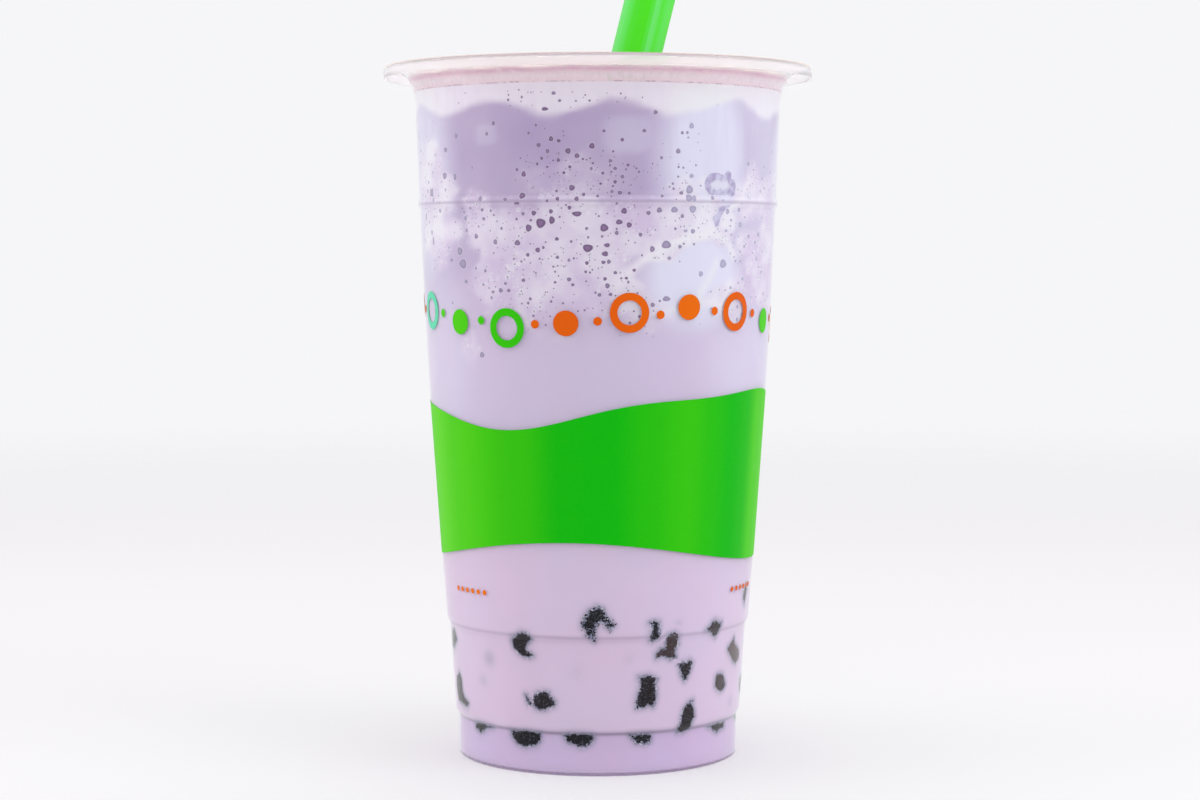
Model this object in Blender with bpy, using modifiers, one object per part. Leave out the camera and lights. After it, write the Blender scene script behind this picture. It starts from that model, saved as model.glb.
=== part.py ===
# Taro bubble tea: a clear cup of milk tea under a froth layer, sealed with a film that a wide
# straw goes through. Metres, +Z up. The origin is the middle of the foot, on the table.

import math

import bmesh
import bpy
from mathutils import Matrix

# Smallest gap between two pieces that touch
GAP = 0.0003

# Sealing rim: a 95 mm flange with its edge turned down, and the neck that flares up to it
FLANGE_R = 0.0475
FLANGE_TOP_Z = 0.1525
LIP_BOTTOM_Z = 0.1499
LIP_CORNER = 0.0004
FLARE_R = 0.0452
NECK_R = 0.0404
NECK_Z = 0.1438

# Wall: a taper that swells a little at half height, with a bead near the top
WALL = 0.0008
WALL_SWELL = 0.00075
BEAD_Z = 0.1225
BEAD_HEIGHT = 0.0026
BEAD_DEPTH = 0.00035

# Two stacking ledges and the foot
UPPER_LEDGE_Z = 0.0298
UPPER_LEDGE_R = 0.0337
LOWER_LEDGE_Z = 0.0095
LOWER_LEDGE_R = 0.0319
LEDGE_HEIGHT = 0.0014
LEDGE_DEPTH = 0.00062
FOOT_R = 0.0311
FOOT_CORNER = 0.0005
FOOT_WIDTH = 0.0021
RECESS_DEPTH = 0.0008

# Drink: the level in the cup, and the wavy line where the froth begins
DRINK_LEVEL_Z = 0.1467
FROTH_START_Z = 0.0970
FROTH_WAVES = ((2, 0.0024), (5, 0.0014))
LEDGE_REACH = 0.0011

# Film sealed on the flange
FILM_R = 0.0471
FILM_THICKNESS = 0.0004

# Straw: a wide tube that leans to +X, with a long slanted point at the foot
STRAW_R = 0.0055
STRAW_WALL = 0.0005
STRAW_LENGTH = 0.210
STRAW_LEAN = math.radians(13.8)
STRAW_CROSSING_X = 0.0079
STRAW_POINT_Z = 0.0100
STRAW_POINT_LENGTH = 0.014
STRAW_POINT_SLOPE = STRAW_POINT_LENGTH / (2 * STRAW_R)
WELL_ABOVE_FILM = 0.02
COLUMN_ROOT = 0.0025

# Finishes: linear colour, roughness and how solid each looks
CUP_FINISH = ((0.93, 0.93, 0.95), 0.12, 0.3)
DRINK_FINISH = ((0.58, 0.46, 0.68), 0.35, 1.0)
FROTH_FINISH = ((0.80, 0.74, 0.86), 0.5, 1.0)
FILM_FINISH = ((0.93, 0.80, 0.78), 0.25, 0.75)
STRAW_FINISH = ((0.16, 0.63, 0.07), 0.3, 1.0)

# How finely the round pieces are made
ROUND_STEPS = 48
STRAW_SIDES = 32
FLARE_STEPS = 5
WALL_STEPS = 4
SIDE_STEPS = 6
SHARP_ANGLE = math.radians(35)
WELD_DISTANCE = 0.00001


def clear_scene():
    for old in list(bpy.data.objects):
        bpy.data.objects.remove(old, do_unlink=True)


def new_collection(name):
    collection = bpy.data.collections.new(name)
    bpy.context.scene.collection.children.link(collection)
    return collection


def finish(name, values):
    """A plain Principled material, see-through where alpha is below one."""
    color, roughness, alpha = values
    material = bpy.data.materials.new(name)
    material.use_nodes = True
    shader = material.node_tree.nodes["Principled BSDF"]
    shader.inputs["Base Color"].default_value = (*color, 1.0)
    shader.inputs["Roughness"].default_value = roughness
    shader.inputs["Metallic"].default_value = 0.0
    shader.inputs["Alpha"].default_value = alpha
    return material


def add_object(name, mesh, collection, material=None):
    piece = bpy.data.objects.new(name, mesh)
    collection.objects.link(piece)
    if material is not None:
        mesh.materials.append(material)
    return piece


def turned(name, profile, collection, material=None):
    """A turned piece: the profile of (radius, height) points is spun round the Z axis."""
    mesh = bpy.data.meshes.new(name)
    points = [(radius, 0.0, height) for radius, height in profile]
    edges = [(i, i + 1) for i in range(len(points) - 1)]
    mesh.from_pydata(points, edges, [])
    piece = add_object(name, mesh, collection, material)
    screw = piece.modifiers.new("Turn", "SCREW")
    screw.steps = ROUND_STEPS
    screw.render_steps = ROUND_STEPS
    screw.use_merge_vertices = True
    screw.merge_threshold = WELD_DISTANCE
    return piece


def settle(piece):
    """Make what the modifiers give the object's own mesh."""
    evaluated = piece.evaluated_get(bpy.context.evaluated_depsgraph_get())
    mesh = bpy.data.meshes.new_from_object(evaluated)
    piece.modifiers.clear()
    piece.data = mesh


def smooth(piece):
    piece.data.shade_smooth()
    piece.data.set_sharp_from_angle(angle=SHARP_ANGLE)


def cut_or_join(piece, tool, operation):
    boolean = piece.modifiers.new(tool.name, "BOOLEAN")
    boolean.operation = operation
    boolean.solver = "EXACT"
    boolean.object = tool


def wall_radius(height):
    """Outer radius of the tapered wall between the upper ledge and the neck."""
    share = (height - UPPER_LEDGE_Z) / (NECK_Z - UPPER_LEDGE_Z)
    taper = UPPER_LEDGE_R + (NECK_R - UPPER_LEDGE_R) * share
    return taper + WALL_SWELL * math.sin(math.pi * share)


def rim_profile():
    """Inner face of the turned-down lip, underside of the flange, then the flaring neck."""
    underside_z = FLANGE_TOP_Z - WALL
    lip_r = FLANGE_R - WALL
    profile = [
        (lip_r, LIP_BOTTOM_Z),
        (lip_r, underside_z - LIP_CORNER),
        (lip_r - LIP_CORNER, underside_z),
    ]
    for step in range(FLARE_STEPS + 1):
        turn = math.pi / 2 * step / FLARE_STEPS
        radius = FLARE_R - (FLARE_R - NECK_R) * math.sin(turn)
        height = NECK_Z + (underside_z - NECK_Z) * math.cos(turn)
        profile.append((radius, height))
    return profile


def wall_profile():
    """The wall from the neck down to the foot, with its bead and two ledges."""
    bead_top = BEAD_Z + BEAD_HEIGHT / 2
    bead_bottom = BEAD_Z - BEAD_HEIGHT / 2
    bead_edge = BEAD_HEIGHT / 4
    profile = [
        (wall_radius(bead_top), bead_top),
        (wall_radius(bead_top) + BEAD_DEPTH, bead_top - bead_edge),
        (wall_radius(bead_bottom) + BEAD_DEPTH, bead_bottom + bead_edge),
        (wall_radius(bead_bottom), bead_bottom),
    ]
    ledge_top = UPPER_LEDGE_Z + LEDGE_HEIGHT / 2
    for step in range(1, WALL_STEPS + 1):
        height = bead_bottom + (ledge_top - bead_bottom) * step / WALL_STEPS
        profile.append((wall_radius(height), height))
    profile.append((UPPER_LEDGE_R - LEDGE_DEPTH, UPPER_LEDGE_Z - LEDGE_HEIGHT / 2))
    profile.append((LOWER_LEDGE_R, LOWER_LEDGE_Z + LEDGE_HEIGHT / 2))
    profile.append((FOOT_R, LOWER_LEDGE_Z - LEDGE_HEIGHT / 2))
    profile.append((FOOT_R, FOOT_CORNER))
    return profile


def foot_profile():
    """The flat ring that the cup stands on and the shallow recess inside it."""
    ring_outer = FOOT_R - FOOT_CORNER
    ring_inner = ring_outer - FOOT_WIDTH
    return [
        (ring_outer, 0.0),
        (ring_inner, 0.0),
        (ring_inner - RECESS_DEPTH, RECESS_DEPTH),
        (0.0, RECESS_DEPTH),
    ]


def outer_radius(height):
    """Outer radius of the cup at a height, read off the turned profile."""
    line = rim_profile()[2:] + wall_profile()
    for upper, lower in zip(line, line[1:]):
        if lower[1] <= height <= upper[1]:
            share = (height - lower[1]) / max(upper[1] - lower[1], GAP)
            return lower[0] + (upper[0] - lower[0]) * share
    return FOOT_R


def contents_radius(height):
    """Largest radius that stays clear of the cup's inner wall, ledges included."""
    nearby = (height - LEDGE_REACH, height, height + LEDGE_REACH)
    return min(outer_radius(z) for z in nearby) - WALL - GAP


def make_cup(collection):
    material = finish("clear_polypropylene", CUP_FINISH)
    profile = rim_profile() + wall_profile() + foot_profile()
    cup = turned("cup", profile, collection, material)
    shell = cup.modifiers.new("Wall", "SOLIDIFY")
    shell.thickness = WALL
    shell.offset = -1.0
    shell.use_even_offset = True
    shell.use_quality_normals = True
    settle(cup)
    smooth(cup)


def contents_profile(bottom, top, heights):
    """A solid between two levels whose side follows the cup's inner wall."""
    profile = [(0.0, top), (contents_radius(top), top)]
    profile += [(contents_radius(z), z) for z in sorted(heights, reverse=True) if bottom < z < top]
    profile += [(contents_radius(bottom), bottom), (0.0, bottom)]
    return profile


def side_heights():
    """Heights where the side of the contents needs a ring of its own."""
    heights = [NECK_Z]
    for middle in (LOWER_LEDGE_Z, UPPER_LEDGE_Z):
        heights += [middle + LEDGE_REACH - LEDGE_HEIGHT / 2, middle + LEDGE_REACH + LEDGE_HEIGHT / 2]
    for step in range(1, SIDE_STEPS):
        heights.append(UPPER_LEDGE_Z + (NECK_Z - UPPER_LEDGE_Z) * step / SIDE_STEPS)
    return heights


def add_waves(piece, level):
    """Lift and drop the flat end at one level, more the further it is from the axis."""
    reach = contents_radius(level)
    for vertex in piece.data.vertices:
        if abs(vertex.co.z - level) < WELD_DISTANCE:
            angle = math.atan2(vertex.co.y, vertex.co.x)
            share = math.hypot(vertex.co.x, vertex.co.y) / reach
            lift = sum(depth * math.cos(count * angle) for count, depth in FROTH_WAVES)
            vertex.co.z += lift * share
            pull = min(1.0, contents_radius(vertex.co.z) / reach)
            vertex.co.x *= pull
            vertex.co.y *= pull


def straw_matrix():
    """From the straw's own axis, with its zero in the film, to its place in the cup."""
    crossing = Matrix.Translation((STRAW_CROSSING_X, 0.0, FLANGE_TOP_Z + GAP))
    return crossing @ Matrix.Rotation(STRAW_LEAN, 4, "Y")


def straw_bottom():
    """Where the straw's point ends along its own axis."""
    drop = FLANGE_TOP_Z + GAP - STRAW_POINT_Z
    return -(drop - STRAW_R * math.sin(STRAW_LEAN)) / math.cos(STRAW_LEAN)


def along_straw(name, radius, bottom, top, collection, wall=None):
    """A rod on the straw's axis, or a tube where wall is given, cut at the slant of the point."""
    form = bmesh.new()
    bmesh.ops.create_cone(
        form,
        cap_ends=wall is None,
        segments=STRAW_SIDES,
        radius1=radius,
        radius2=radius,
        depth=top - bottom,
    )
    mesh = bpy.data.meshes.new(name)
    form.to_mesh(mesh)
    form.free()
    piece = add_object(name, mesh, collection)
    if wall is not None:
        shell = piece.modifiers.new("Wall", "SOLIDIFY")
        shell.thickness = wall
        shell.offset = -1.0
        shell.use_even_offset = True
        settle(piece)
    for vertex in piece.data.vertices:
        slant = (STRAW_R - vertex.co.x) * STRAW_POINT_SLOPE if vertex.co.z < 0 else 0.0
        vertex.co.z += (top + bottom) / 2 + slant
    piece.data.transform(straw_matrix())
    return piece


def make_straw(collection):
    bottom = straw_bottom()
    straw = along_straw("straw", STRAW_R, bottom, bottom + STRAW_LENGTH, collection, STRAW_WALL)
    straw.data.materials.append(finish("green_straw_plastic", STRAW_FINISH))
    smooth(straw)


def make_cutter(name, radius, bottom, top, cutters):
    cutter = along_straw(name, radius, bottom, top, cutters)
    cutter.display_type = "WIRE"
    cutter.hide_render = True
    return cutter


def make_well(cutters):
    """The room that the straw takes up in the film, the froth and the drink."""
    slant_room = GAP * math.hypot(1.0, STRAW_POINT_SLOPE)
    bottom = straw_bottom() - slant_room
    return make_cutter("straw_well", STRAW_R + GAP, bottom, WELL_ABOVE_FILM, cutters)


def make_column(cutters):
    """The drink that stands inside the straw, up to the level in the cup."""
    radius = STRAW_R - STRAW_WALL - GAP
    bottom = straw_bottom() - COLUMN_ROOT
    top = (DRINK_LEVEL_Z - FLANGE_TOP_Z - GAP) / math.cos(STRAW_LEAN)
    return make_cutter("straw_column", radius, bottom, top, cutters)


def make_drink(collection, well, column):
    material = finish("taro_milk_tea", DRINK_FINISH)
    bottom = RECESS_DEPTH + WALL + GAP
    profile = contents_profile(bottom, FROTH_START_Z, side_heights())
    drink = turned("milk_tea", profile, collection, material)
    settle(drink)
    add_waves(drink, FROTH_START_Z)
    cut_or_join(drink, well, "DIFFERENCE")
    cut_or_join(drink, column, "UNION")
    smooth(drink)


def make_froth(collection, well):
    material = finish("milk_froth", FROTH_FINISH)
    bottom = FROTH_START_Z + GAP
    profile = contents_profile(bottom, DRINK_LEVEL_Z, side_heights())
    froth = turned("froth", profile, collection, material)
    settle(froth)
    add_waves(froth, bottom)
    cut_or_join(froth, well, "DIFFERENCE")
    smooth(froth)


def make_film(collection, well):
    material = finish("peach_sealing_film", FILM_FINISH)
    form = bmesh.new()
    bmesh.ops.create_cone(
        form,
        cap_ends=True,
        segments=ROUND_STEPS,
        radius1=FILM_R,
        radius2=FILM_R,
        depth=FILM_THICKNESS,
    )
    middle = FLANGE_TOP_Z + GAP + FILM_THICKNESS / 2
    bmesh.ops.translate(form, verts=form.verts, vec=(0, 0, middle))
    mesh = bpy.data.meshes.new("sealing_film")
    form.to_mesh(mesh)
    form.free()
    film = add_object("sealing_film", mesh, collection, material)
    cut_or_join(film, well, "DIFFERENCE")
    smooth(film)


def main():
    clear_scene()
    tea = new_collection("taro_bubble_tea")
    cutters = new_collection("cutters")
    make_cup(tea)
    make_straw(tea)
    well = make_well(cutters)
    column = make_column(cutters)
    make_drink(tea, well, column)
    make_froth(tea, well)
    make_film(tea, well)


main()
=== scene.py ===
import math
import random
from functools import partial

import bpy
from mathutils import Matrix, Vector, noise


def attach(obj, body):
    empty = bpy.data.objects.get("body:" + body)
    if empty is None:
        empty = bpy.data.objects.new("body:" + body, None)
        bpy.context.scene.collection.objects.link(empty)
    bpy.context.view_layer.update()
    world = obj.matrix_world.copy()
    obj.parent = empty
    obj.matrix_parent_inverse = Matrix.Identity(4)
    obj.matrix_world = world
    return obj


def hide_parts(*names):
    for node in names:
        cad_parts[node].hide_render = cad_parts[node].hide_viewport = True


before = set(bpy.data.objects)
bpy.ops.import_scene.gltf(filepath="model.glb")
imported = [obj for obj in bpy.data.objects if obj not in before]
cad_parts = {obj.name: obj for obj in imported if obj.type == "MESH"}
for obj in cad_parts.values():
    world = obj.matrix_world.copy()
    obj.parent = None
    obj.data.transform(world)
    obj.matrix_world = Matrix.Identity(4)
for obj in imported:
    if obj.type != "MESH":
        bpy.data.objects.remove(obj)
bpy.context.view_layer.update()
mm = 0.001  # every dictionary below is in millimetres and degrees


def toLinear(hexColour):
    values = [int(hexColour[i:i + 2], 16) / 255 for i in (1, 3, 5)]
    return [v / 12.92 if v <= 0.04045 else ((v + 0.055) / 1.055) ** 2.4 for v in values] + [1.0]


soft = {"interpolation_type": "SMOOTHSTEP"}
rgba = {"data_type": "RGBA"}


def perMetre(millimetres):
    # a texture's scale, for marks of this size
    return 1000 / millimetres


def addNode(tree, kind, settings, result=0):
    # a key is a socket's number or name, or else one of the node's own settings; an output is linked
    node = tree.nodes.new("ShaderNode" + kind)
    for key, value in settings.items():
        if isinstance(value, bpy.types.NodeSocket):
            tree.links.new(value, node.inputs[key])
        elif isinstance(key, str) and hasattr(node, key):
            setattr(node, key, value)
        else:
            node.inputs[key].default_value = toLinear(value) if isinstance(value, str) else value
    return node.outputs[result] if node.outputs else None


def newMaterial(name):
    material = bpy.data.materials.new(name)
    material.use_nodes = True
    material.node_tree.nodes.clear()
    return material, partial(addNode, material.node_tree)


def clearSelection():
    if bpy.context.object and bpy.context.object.mode != "OBJECT":
        bpy.ops.object.mode_set(mode="OBJECT")
    bpy.ops.object.select_all(action="DESELECT")


def nameActive(name):
    piece = bpy.context.object
    piece.name = piece.data.name = name
    return piece


def smoothStep(low, high, value):
    share = min(1.0, max(0.0, (value - low) / (high - low)))
    return share * share * (3 - 2 * share)


def bakeModifiers(piece):
    clearSelection()
    piece.select_set(True)
    bpy.context.view_layer.objects.active = piece
    for modifier in list(piece.modifiers):
        bpy.ops.object.modifier_apply(modifier=modifier.name)


def addModifier(piece, name, kind, **values):
    modifier = piece.modifiers.new(name, kind)
    for key, value in values.items():
        setattr(modifier, key, value)


def settlePiece(piece, material, smoothAngle=40):
    # place into the mesh, smooth faces, finish and body
    clearSelection()
    piece.select_set(True)
    bpy.context.view_layer.objects.active = piece
    bpy.ops.object.transform_apply(location=True, rotation=True, scale=True)
    bpy.ops.object.shade_smooth_by_angle(angle=math.radians(smoothAngle))
    piece.data.materials.clear()
    piece.data.materials.append(material)
    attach(piece, "root")
    return piece


def joinPieces(name, pieces):
    clearSelection()
    for piece in pieces:
        piece.select_set(True)
    bpy.context.view_layer.objects.active = pieces[0]
    bpy.ops.object.join()
    return nameActive(name)


def setAttribute(piece, name, values):
    layer = piece.data.attributes.get(name) or piece.data.attributes.new(name, "FLOAT", "POINT")
    layer.data.foreach_set("value", values)


cup = {
    "flangeR": 47.5, "flangeTop": 152.5, "lipBottom": 149.9, "flareR": 45.2,
    "neckR": 40.4, "neckZ": 143.8, "wall": 0.8, "swell": 0.75,
    "beadZ": 122.5, "beadHeight": 2.6, "beadDepth": 0.35,
    "upperLedgeZ": 29.8, "upperLedgeR": 33.7, "lowerLedgeZ": 9.5, "lowerLedgeR": 31.9,
    "ledgeHeight": 1.4, "ledgeDepth": 0.62, "footR": 31.1, "footWidth": 2.6, "recess": 0.8,
    "sides": 160, "haze": 0.28,
}


def wallRadius(z):
    share = (z - cup["upperLedgeZ"]) / (cup["neckZ"] - cup["upperLedgeZ"])
    straight = cup["upperLedgeR"] + (cup["neckR"] - cup["upperLedgeR"]) * share
    return straight + cup["swell"] * math.sin(math.pi * share)


def outerCorners():
    # (radius, height, rounding) from the lip to the middle of the foot, as seen from outside
    under = cup["flangeTop"] - cup["wall"]
    half = cup["ledgeHeight"] / 2
    lipR = cup["flangeR"] - cup["wall"]
    corners = [(lipR, cup["lipBottom"], 0), (lipR, under, 0.45)]
    for step in range(9):
        turn = math.pi / 2 * step / 8
        corners.append((cup["flareR"] - (cup["flareR"] - cup["neckR"]) * math.sin(turn),
                        cup["neckZ"] + (under - cup["neckZ"]) * math.cos(turn), 0))
    top, low = cup["beadZ"] + cup["beadHeight"] / 2, cup["beadZ"] - cup["beadHeight"] / 2
    for step in range(1, 4):
        z = cup["neckZ"] + (top - cup["neckZ"]) * step / 4
        corners.append((wallRadius(z), z, 0))
    corners += [(wallRadius(top), top, 0.3), (wallRadius(top) + cup["beadDepth"], top - 0.65, 0.3),
                (wallRadius(low) + cup["beadDepth"], low + 0.65, 0.3), (wallRadius(low), low, 0.3)]
    ledgeTop = cup["upperLedgeZ"] + half
    for step in range(1, 16):
        z = low + (ledgeTop - low) * step / 16
        corners.append((wallRadius(z), z, 0))
    return corners + [
        (wallRadius(ledgeTop), ledgeTop, 0.4),
        (cup["upperLedgeR"] - cup["ledgeDepth"], cup["upperLedgeZ"] - half, 0.45),
        (cup["lowerLedgeR"], cup["lowerLedgeZ"] + half, 0.4), (cup["footR"], cup["lowerLedgeZ"] - half, 0.45),
        (cup["footR"], 0, 0.5), (cup["footR"] - cup["footWidth"], 0, 0.3),
        (cup["footR"] - cup["footWidth"] - cup["recess"], cup["recess"], 0.4), (0, cup["recess"], 0)]


def insetCorners(corners, depth):
    # the same line moved into the wall, corner by corner
    moved = []
    for i, (r, z, rounding) in enumerate(corners):
        here = Vector((r, z))
        sides = []
        for a, b in ((i - 1, i), (i, i + 1)):
            if a >= 0 and b < len(corners):
                along = (Vector(corners[b][:2]) - Vector(corners[a][:2])).normalized()
                sides.append(Vector((along.y, -along.x)))  # to the wall's inner side
        mitre = sum(sides, Vector((0, 0))).normalized()
        here += mitre * depth / max(0.5, mitre.dot(sides[0]))
        moved.append((max(0.0, here.x) if r else 0.0, here.y, rounding))
    return moved


def roundCorners(corners, steps=4):
    line = []
    for i, (r, z, rounding) in enumerate(corners):
        here = Vector((r, z))
        if not rounding:
            line.append(here)
            continue
        before, after = Vector(corners[i - 1][:2]), Vector(corners[i + 1][:2])
        start = here + (before - here).normalized() * min(rounding, (before - here).length * 0.45)
        end = here + (after - here).normalized() * min(rounding, (after - here).length * 0.45)
        for step in range(steps + 1):
            t = step / steps
            line.append(start * (1 - t) ** 2 + here * 2 * t * (1 - t) + end * t * t)
    return line


def fineLine(line, longest):
    # no stretch of the line is longer than this
    fine = [line[0]]
    for before, after in zip(line, line[1:]):
        pieces = max(1, math.ceil((after - before).length / longest))
        fine += [before.lerp(after, step / pieces) for step in range(1, pieces + 1)]
    return fine


def lineInWall(depth, rounded=True):
    corners = insetCorners(outerCorners(), depth)
    return roundCorners(corners) if rounded else [Vector(c[:2]) for c in corners]


def radiusTable(depth):
    # radius at a height, for pieces that lie on the wall
    line = [p for p in lineInWall(depth) if p.x > 28]

    def radiusAt(z):
        for upper, lower in zip(line, line[1:]):
            if lower.y <= z <= upper.y and upper.y - lower.y > 1e-6:
                return lower.x + (upper.x - lower.x) * (z - lower.y) / (upper.y - lower.y)
        return line[-1].x
    known = [radiusAt(i * 0.1) for i in range(1560)]
    return lambda z: known[min(1559, max(0, round(z * 10)))]


def spinLine(name, line, sides):
    # one vertex, extruded along the line and spun into a turned shell
    clearSelection()
    bpy.ops.mesh.primitive_plane_add(size=0.001, location=(line[0].x * mm, 0, line[0].y * mm))
    piece = nameActive(name)
    bpy.ops.object.mode_set(mode="EDIT")
    bpy.ops.mesh.select_all(action="SELECT")
    bpy.ops.mesh.merge(type="CENTER")
    for before, after in zip(line, line[1:]):
        step = (after - before) * mm
        bpy.ops.mesh.extrude_vertices_move(TRANSFORM_OT_translate={"value": (step.x, 0, step.y)})
    bpy.ops.mesh.select_all(action="SELECT")
    bpy.ops.mesh.spin(steps=sides, angle=2 * math.pi, center=(0, 0, 0), axis=(0, 0, 1))
    bpy.ops.mesh.select_all(action="SELECT")
    bpy.ops.mesh.remove_doubles(threshold=0.000004)
    bpy.ops.mesh.normals_make_consistent(inside=False)
    bpy.ops.object.mode_set(mode="OBJECT")
    bpy.ops.object.transform_apply(location=True, rotation=False, scale=False)
    return piece


def onWall(angle, z, radius):
    # degrees from the front towards +X
    a = math.radians(angle)
    return Vector((radius * math.sin(a), -radius * math.cos(a), z)) * mm


def angleOf(point):
    return math.degrees(math.atan2(point.x, -point.y))


def radiusOf(point):
    return math.hypot(point.x, point.y) / mm


def turnFrom(middle, angle):
    # degrees from one angle to the other, the short way round
    return (angle - middle + 180) % 360 - 180


def aroundCup(angle, height):
    # a place in the noise that closes on itself round the cup
    a = math.radians(angle)
    return Vector((math.sin(a), math.cos(a), 0)) * 3.6 + Vector((0, 0, height))


contentsDepth = 0.55  # the drink's side lies this far inside the wall's outer face
drinkRadius = radiusTable(contentsDepth)
outerRadius = radiusTable(0)

view = {"lens": 76.05, "at": (0.5, -566.6, 110.9), "down": 3.247}


def addCamera():
    tilt = math.radians(90 - view["down"])
    bpy.ops.object.camera_add(location=[v * mm for v in view["at"]], rotation=(tilt, 0, 0))
    camera = nameActive("viewCamera")
    camera.data.lens = view["lens"]
    camera.data.sensor_width = 36
    camera.data.clip_start = 0.01
    bpy.context.scene.camera = camera


studio = {
    "backdrop": "#F6F6F8", "ambient": (0.765, 0.76, 0.77, 1), "mirrored": (0.97, 0.98, 1, 1),
    "floor": "#F5F3F5", "floorGlow": 0.35, "floorSize": 1400, "floorFade": (300, 1200), "floorHidden": 0.85,
    "before": 0.22, "behind": 0.95,  # brightness that gloss picks up from the room before and behind the cup
    "softboxes": [  # name, place, size, power, colour, aimed at
        ("rightWindow", (620, -330, 420), (520, 620), 1.8, (0.90, 0.94, 1.0), (0, 0, 80)),
        ("leftPanel", (-640, -60, 300), (420, 560), 0.95, (0.96, 0.97, 1.0), (0, 0, 80)),
        ("overhead", (0, 140, 800), (700, 700), 1.3, (1.0, 1.0, 1.0), (0, 0, 60)),
        ("frontFill", (-40, -980, 230), (600, 420), 0.85, (1.0, 0.985, 1.0), (0, 0, 80)),
    ],
}


def addFloor():
    clearSelection()
    bpy.ops.mesh.primitive_circle_add(vertices=96, radius=studio["floorSize"] * mm, fill_type="NGON",
                                      location=(0, 0, -0.05 * mm))
    floor = nameActive("floor")
    bpy.ops.object.transform_apply(location=True)
    material, add = newMaterial("matteStudioFloor")
    shader = add("BsdfPrincipled", {"Base Color": studio["floor"], "Roughness": 0.75, "Specular IOR Level": 0.15})
    glow = add("Emission", {"Color": studio["floor"]})
    lifted = add("MixShader", {0: studio["floorGlow"], 1: shader, 2: glow})
    reach = add("VectorMath", {"operation": "LENGTH", 0: add("TexCoord", {}, "Object")}, "Value")
    near, far = [v * mm for v in studio["floorFade"]]
    fade = add("MapRange", {**soft, "From Min": near, "From Max": far, "Value": reach})
    # less of the floor shows in the glossy wall
    mirrored = add("Math", {"operation": "GREATER_THAN", 0: add("LightPath", {}, "Glossy Depth"), 1: 0.5})
    dimmed = add("Math", {"operation": "MULTIPLY", 0: mirrored, 1: studio["floorHidden"]})
    hidden = add("Math", {"operation": "MAXIMUM", 0: fade, 1: dimmed})
    faded = add("MixShader", {0: hidden, 1: lifted, 2: add("BsdfTransparent", {})})
    add("OutputMaterial", {0: faded})
    floor.data.materials.append(material)


def addLamps():
    for name, place, size, power, colour, target in studio["softboxes"]:
        bpy.ops.object.light_add(type="AREA", location=[v * mm for v in place])
        lamp = nameActive(name)
        lamp.rotation_euler = (Vector(target) - Vector(place)).to_track_quat("-Z", "Y").to_euler()
        lamp.data.shape = "RECTANGLE"
        lamp.data.size, lamp.data.size_y = size[0] * mm, size[1] * mm
        lamp.data.energy = power
        lamp.data.color = colour
        lamp.visible_camera = lamp.visible_glossy = False


def addWorld():
    world = bpy.data.worlds.new("paleStudio")
    bpy.context.scene.world = world
    world.use_nodes = True
    world.node_tree.nodes.clear()
    add = partial(addNode, world.node_tree)
    seen = add("Math", {"operation": "MAXIMUM", 0: add("LightPath", {}, "Is Camera Ray"),
                        1: add("LightPath", {}, "Is Transmission Ray")})
    ambient = add("Background", {"Color": studio["ambient"]})
    backdrop = add("Background", {"Color": studio["backdrop"]})
    direction = add("SeparateXYZ", {0: add("TexCoord", {}, "Generated")}, "Y")
    room = add("MapRange", {**soft, "From Min": -0.6, "From Max": 0.45, "To Min": studio["before"],
                            "To Max": studio["behind"], "Value": direction})
    mirrored = add("Background", {"Color": studio["mirrored"], "Strength": room})
    plain = add("MixShader", {0: seen, 1: ambient, 2: backdrop})
    reflected = add("Math", {"operation": "GREATER_THAN", 0: add("LightPath", {}, "Glossy Depth"), 1: 0.5})
    mixed = add("MixShader", {0: reflected, 1: plain, 2: mirrored})
    add("OutputWorld", {0: mixed})
    bpy.context.scene.view_settings.view_transform = "Standard"


addCamera()
addFloor()
addLamps()
addWorld()
print("stage: camera, floor and soft light are up")


def clearPolypropylene():
    # PP, injection moulded: clear with a faint grey in its thick edges, and a glossy skin
    material, add = newMaterial("clearPolypropylene")
    grain = add("TexCoord", {}, "Object")
    # 14 mm flow waves
    waviness = add("TexNoise", {"Scale": perMetre(14), "Detail": 1.0, "Vector": grain})
    bump = add("Bump", {"Strength": 0.12, "Distance": 0.0004, "Height": waviness})
    plastic = add("BsdfPrincipled", {"Base Color": "#FDFDFE", "Roughness": 0.02, "IOR": 1.49,
                                     "Transmission Weight": 1.0, "Normal": bump})
    haze = add("Attribute", {"attribute_name": "haze"}, "Fac")  # the thick flange is a little milky
    milky = add("BsdfDiffuse", {"Color": "#F3F2F5"})
    glowing = add("BsdfTranslucent", {"Color": "#F5F3F5"})
    scattered = add("MixShader", {0: 0.5, 1: milky, 2: glowing})
    hazed = add("MixShader", {0: haze, 1: plastic, 2: scattered})
    lightPath = add("LightPath", {}, "Is Shadow Ray")
    clear = add("BsdfTransparent", {"Color": (0.97, 0.97, 0.98, 1)})
    mixed = add("MixShader", {0: lightPath, 1: hazed, 2: clear})
    add("OutputMaterial", {0: mixed})
    return material


def makeCup():
    line = fineLine(roundCorners(outerCorners()), 4.0)
    piece = spinLine("clearCup", line, cup["sides"])
    wallFace = max(piece.data.polygons, key=lambda face: -abs(face.center.z - 0.07))
    if wallFace.normal.dot(Vector((wallFace.center.x, wallFace.center.y, 0))) < 0:
        piece.data.flip_normals()
    addModifier(piece, "wall", "SOLIDIFY", thickness=cup["wall"] * mm, offset=-1, use_even_offset=True,
                use_quality_normals=True)
    addModifier(piece, "lipEdge", "BEVEL", width=0.25 * mm, segments=3, limit_method="ANGLE",
                angle_limit=math.radians(60))
    bakeModifiers(piece)
    setAttribute(piece, "haze", [cup["haze"] * smoothStep(43, 46, radiusOf(v.co)) for v in piece.data.vertices])
    settlePiece(piece, clearPolypropylene())
    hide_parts("cup")
    return piece


makeCup()
print("cup: turned, walled and beaded")

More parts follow.
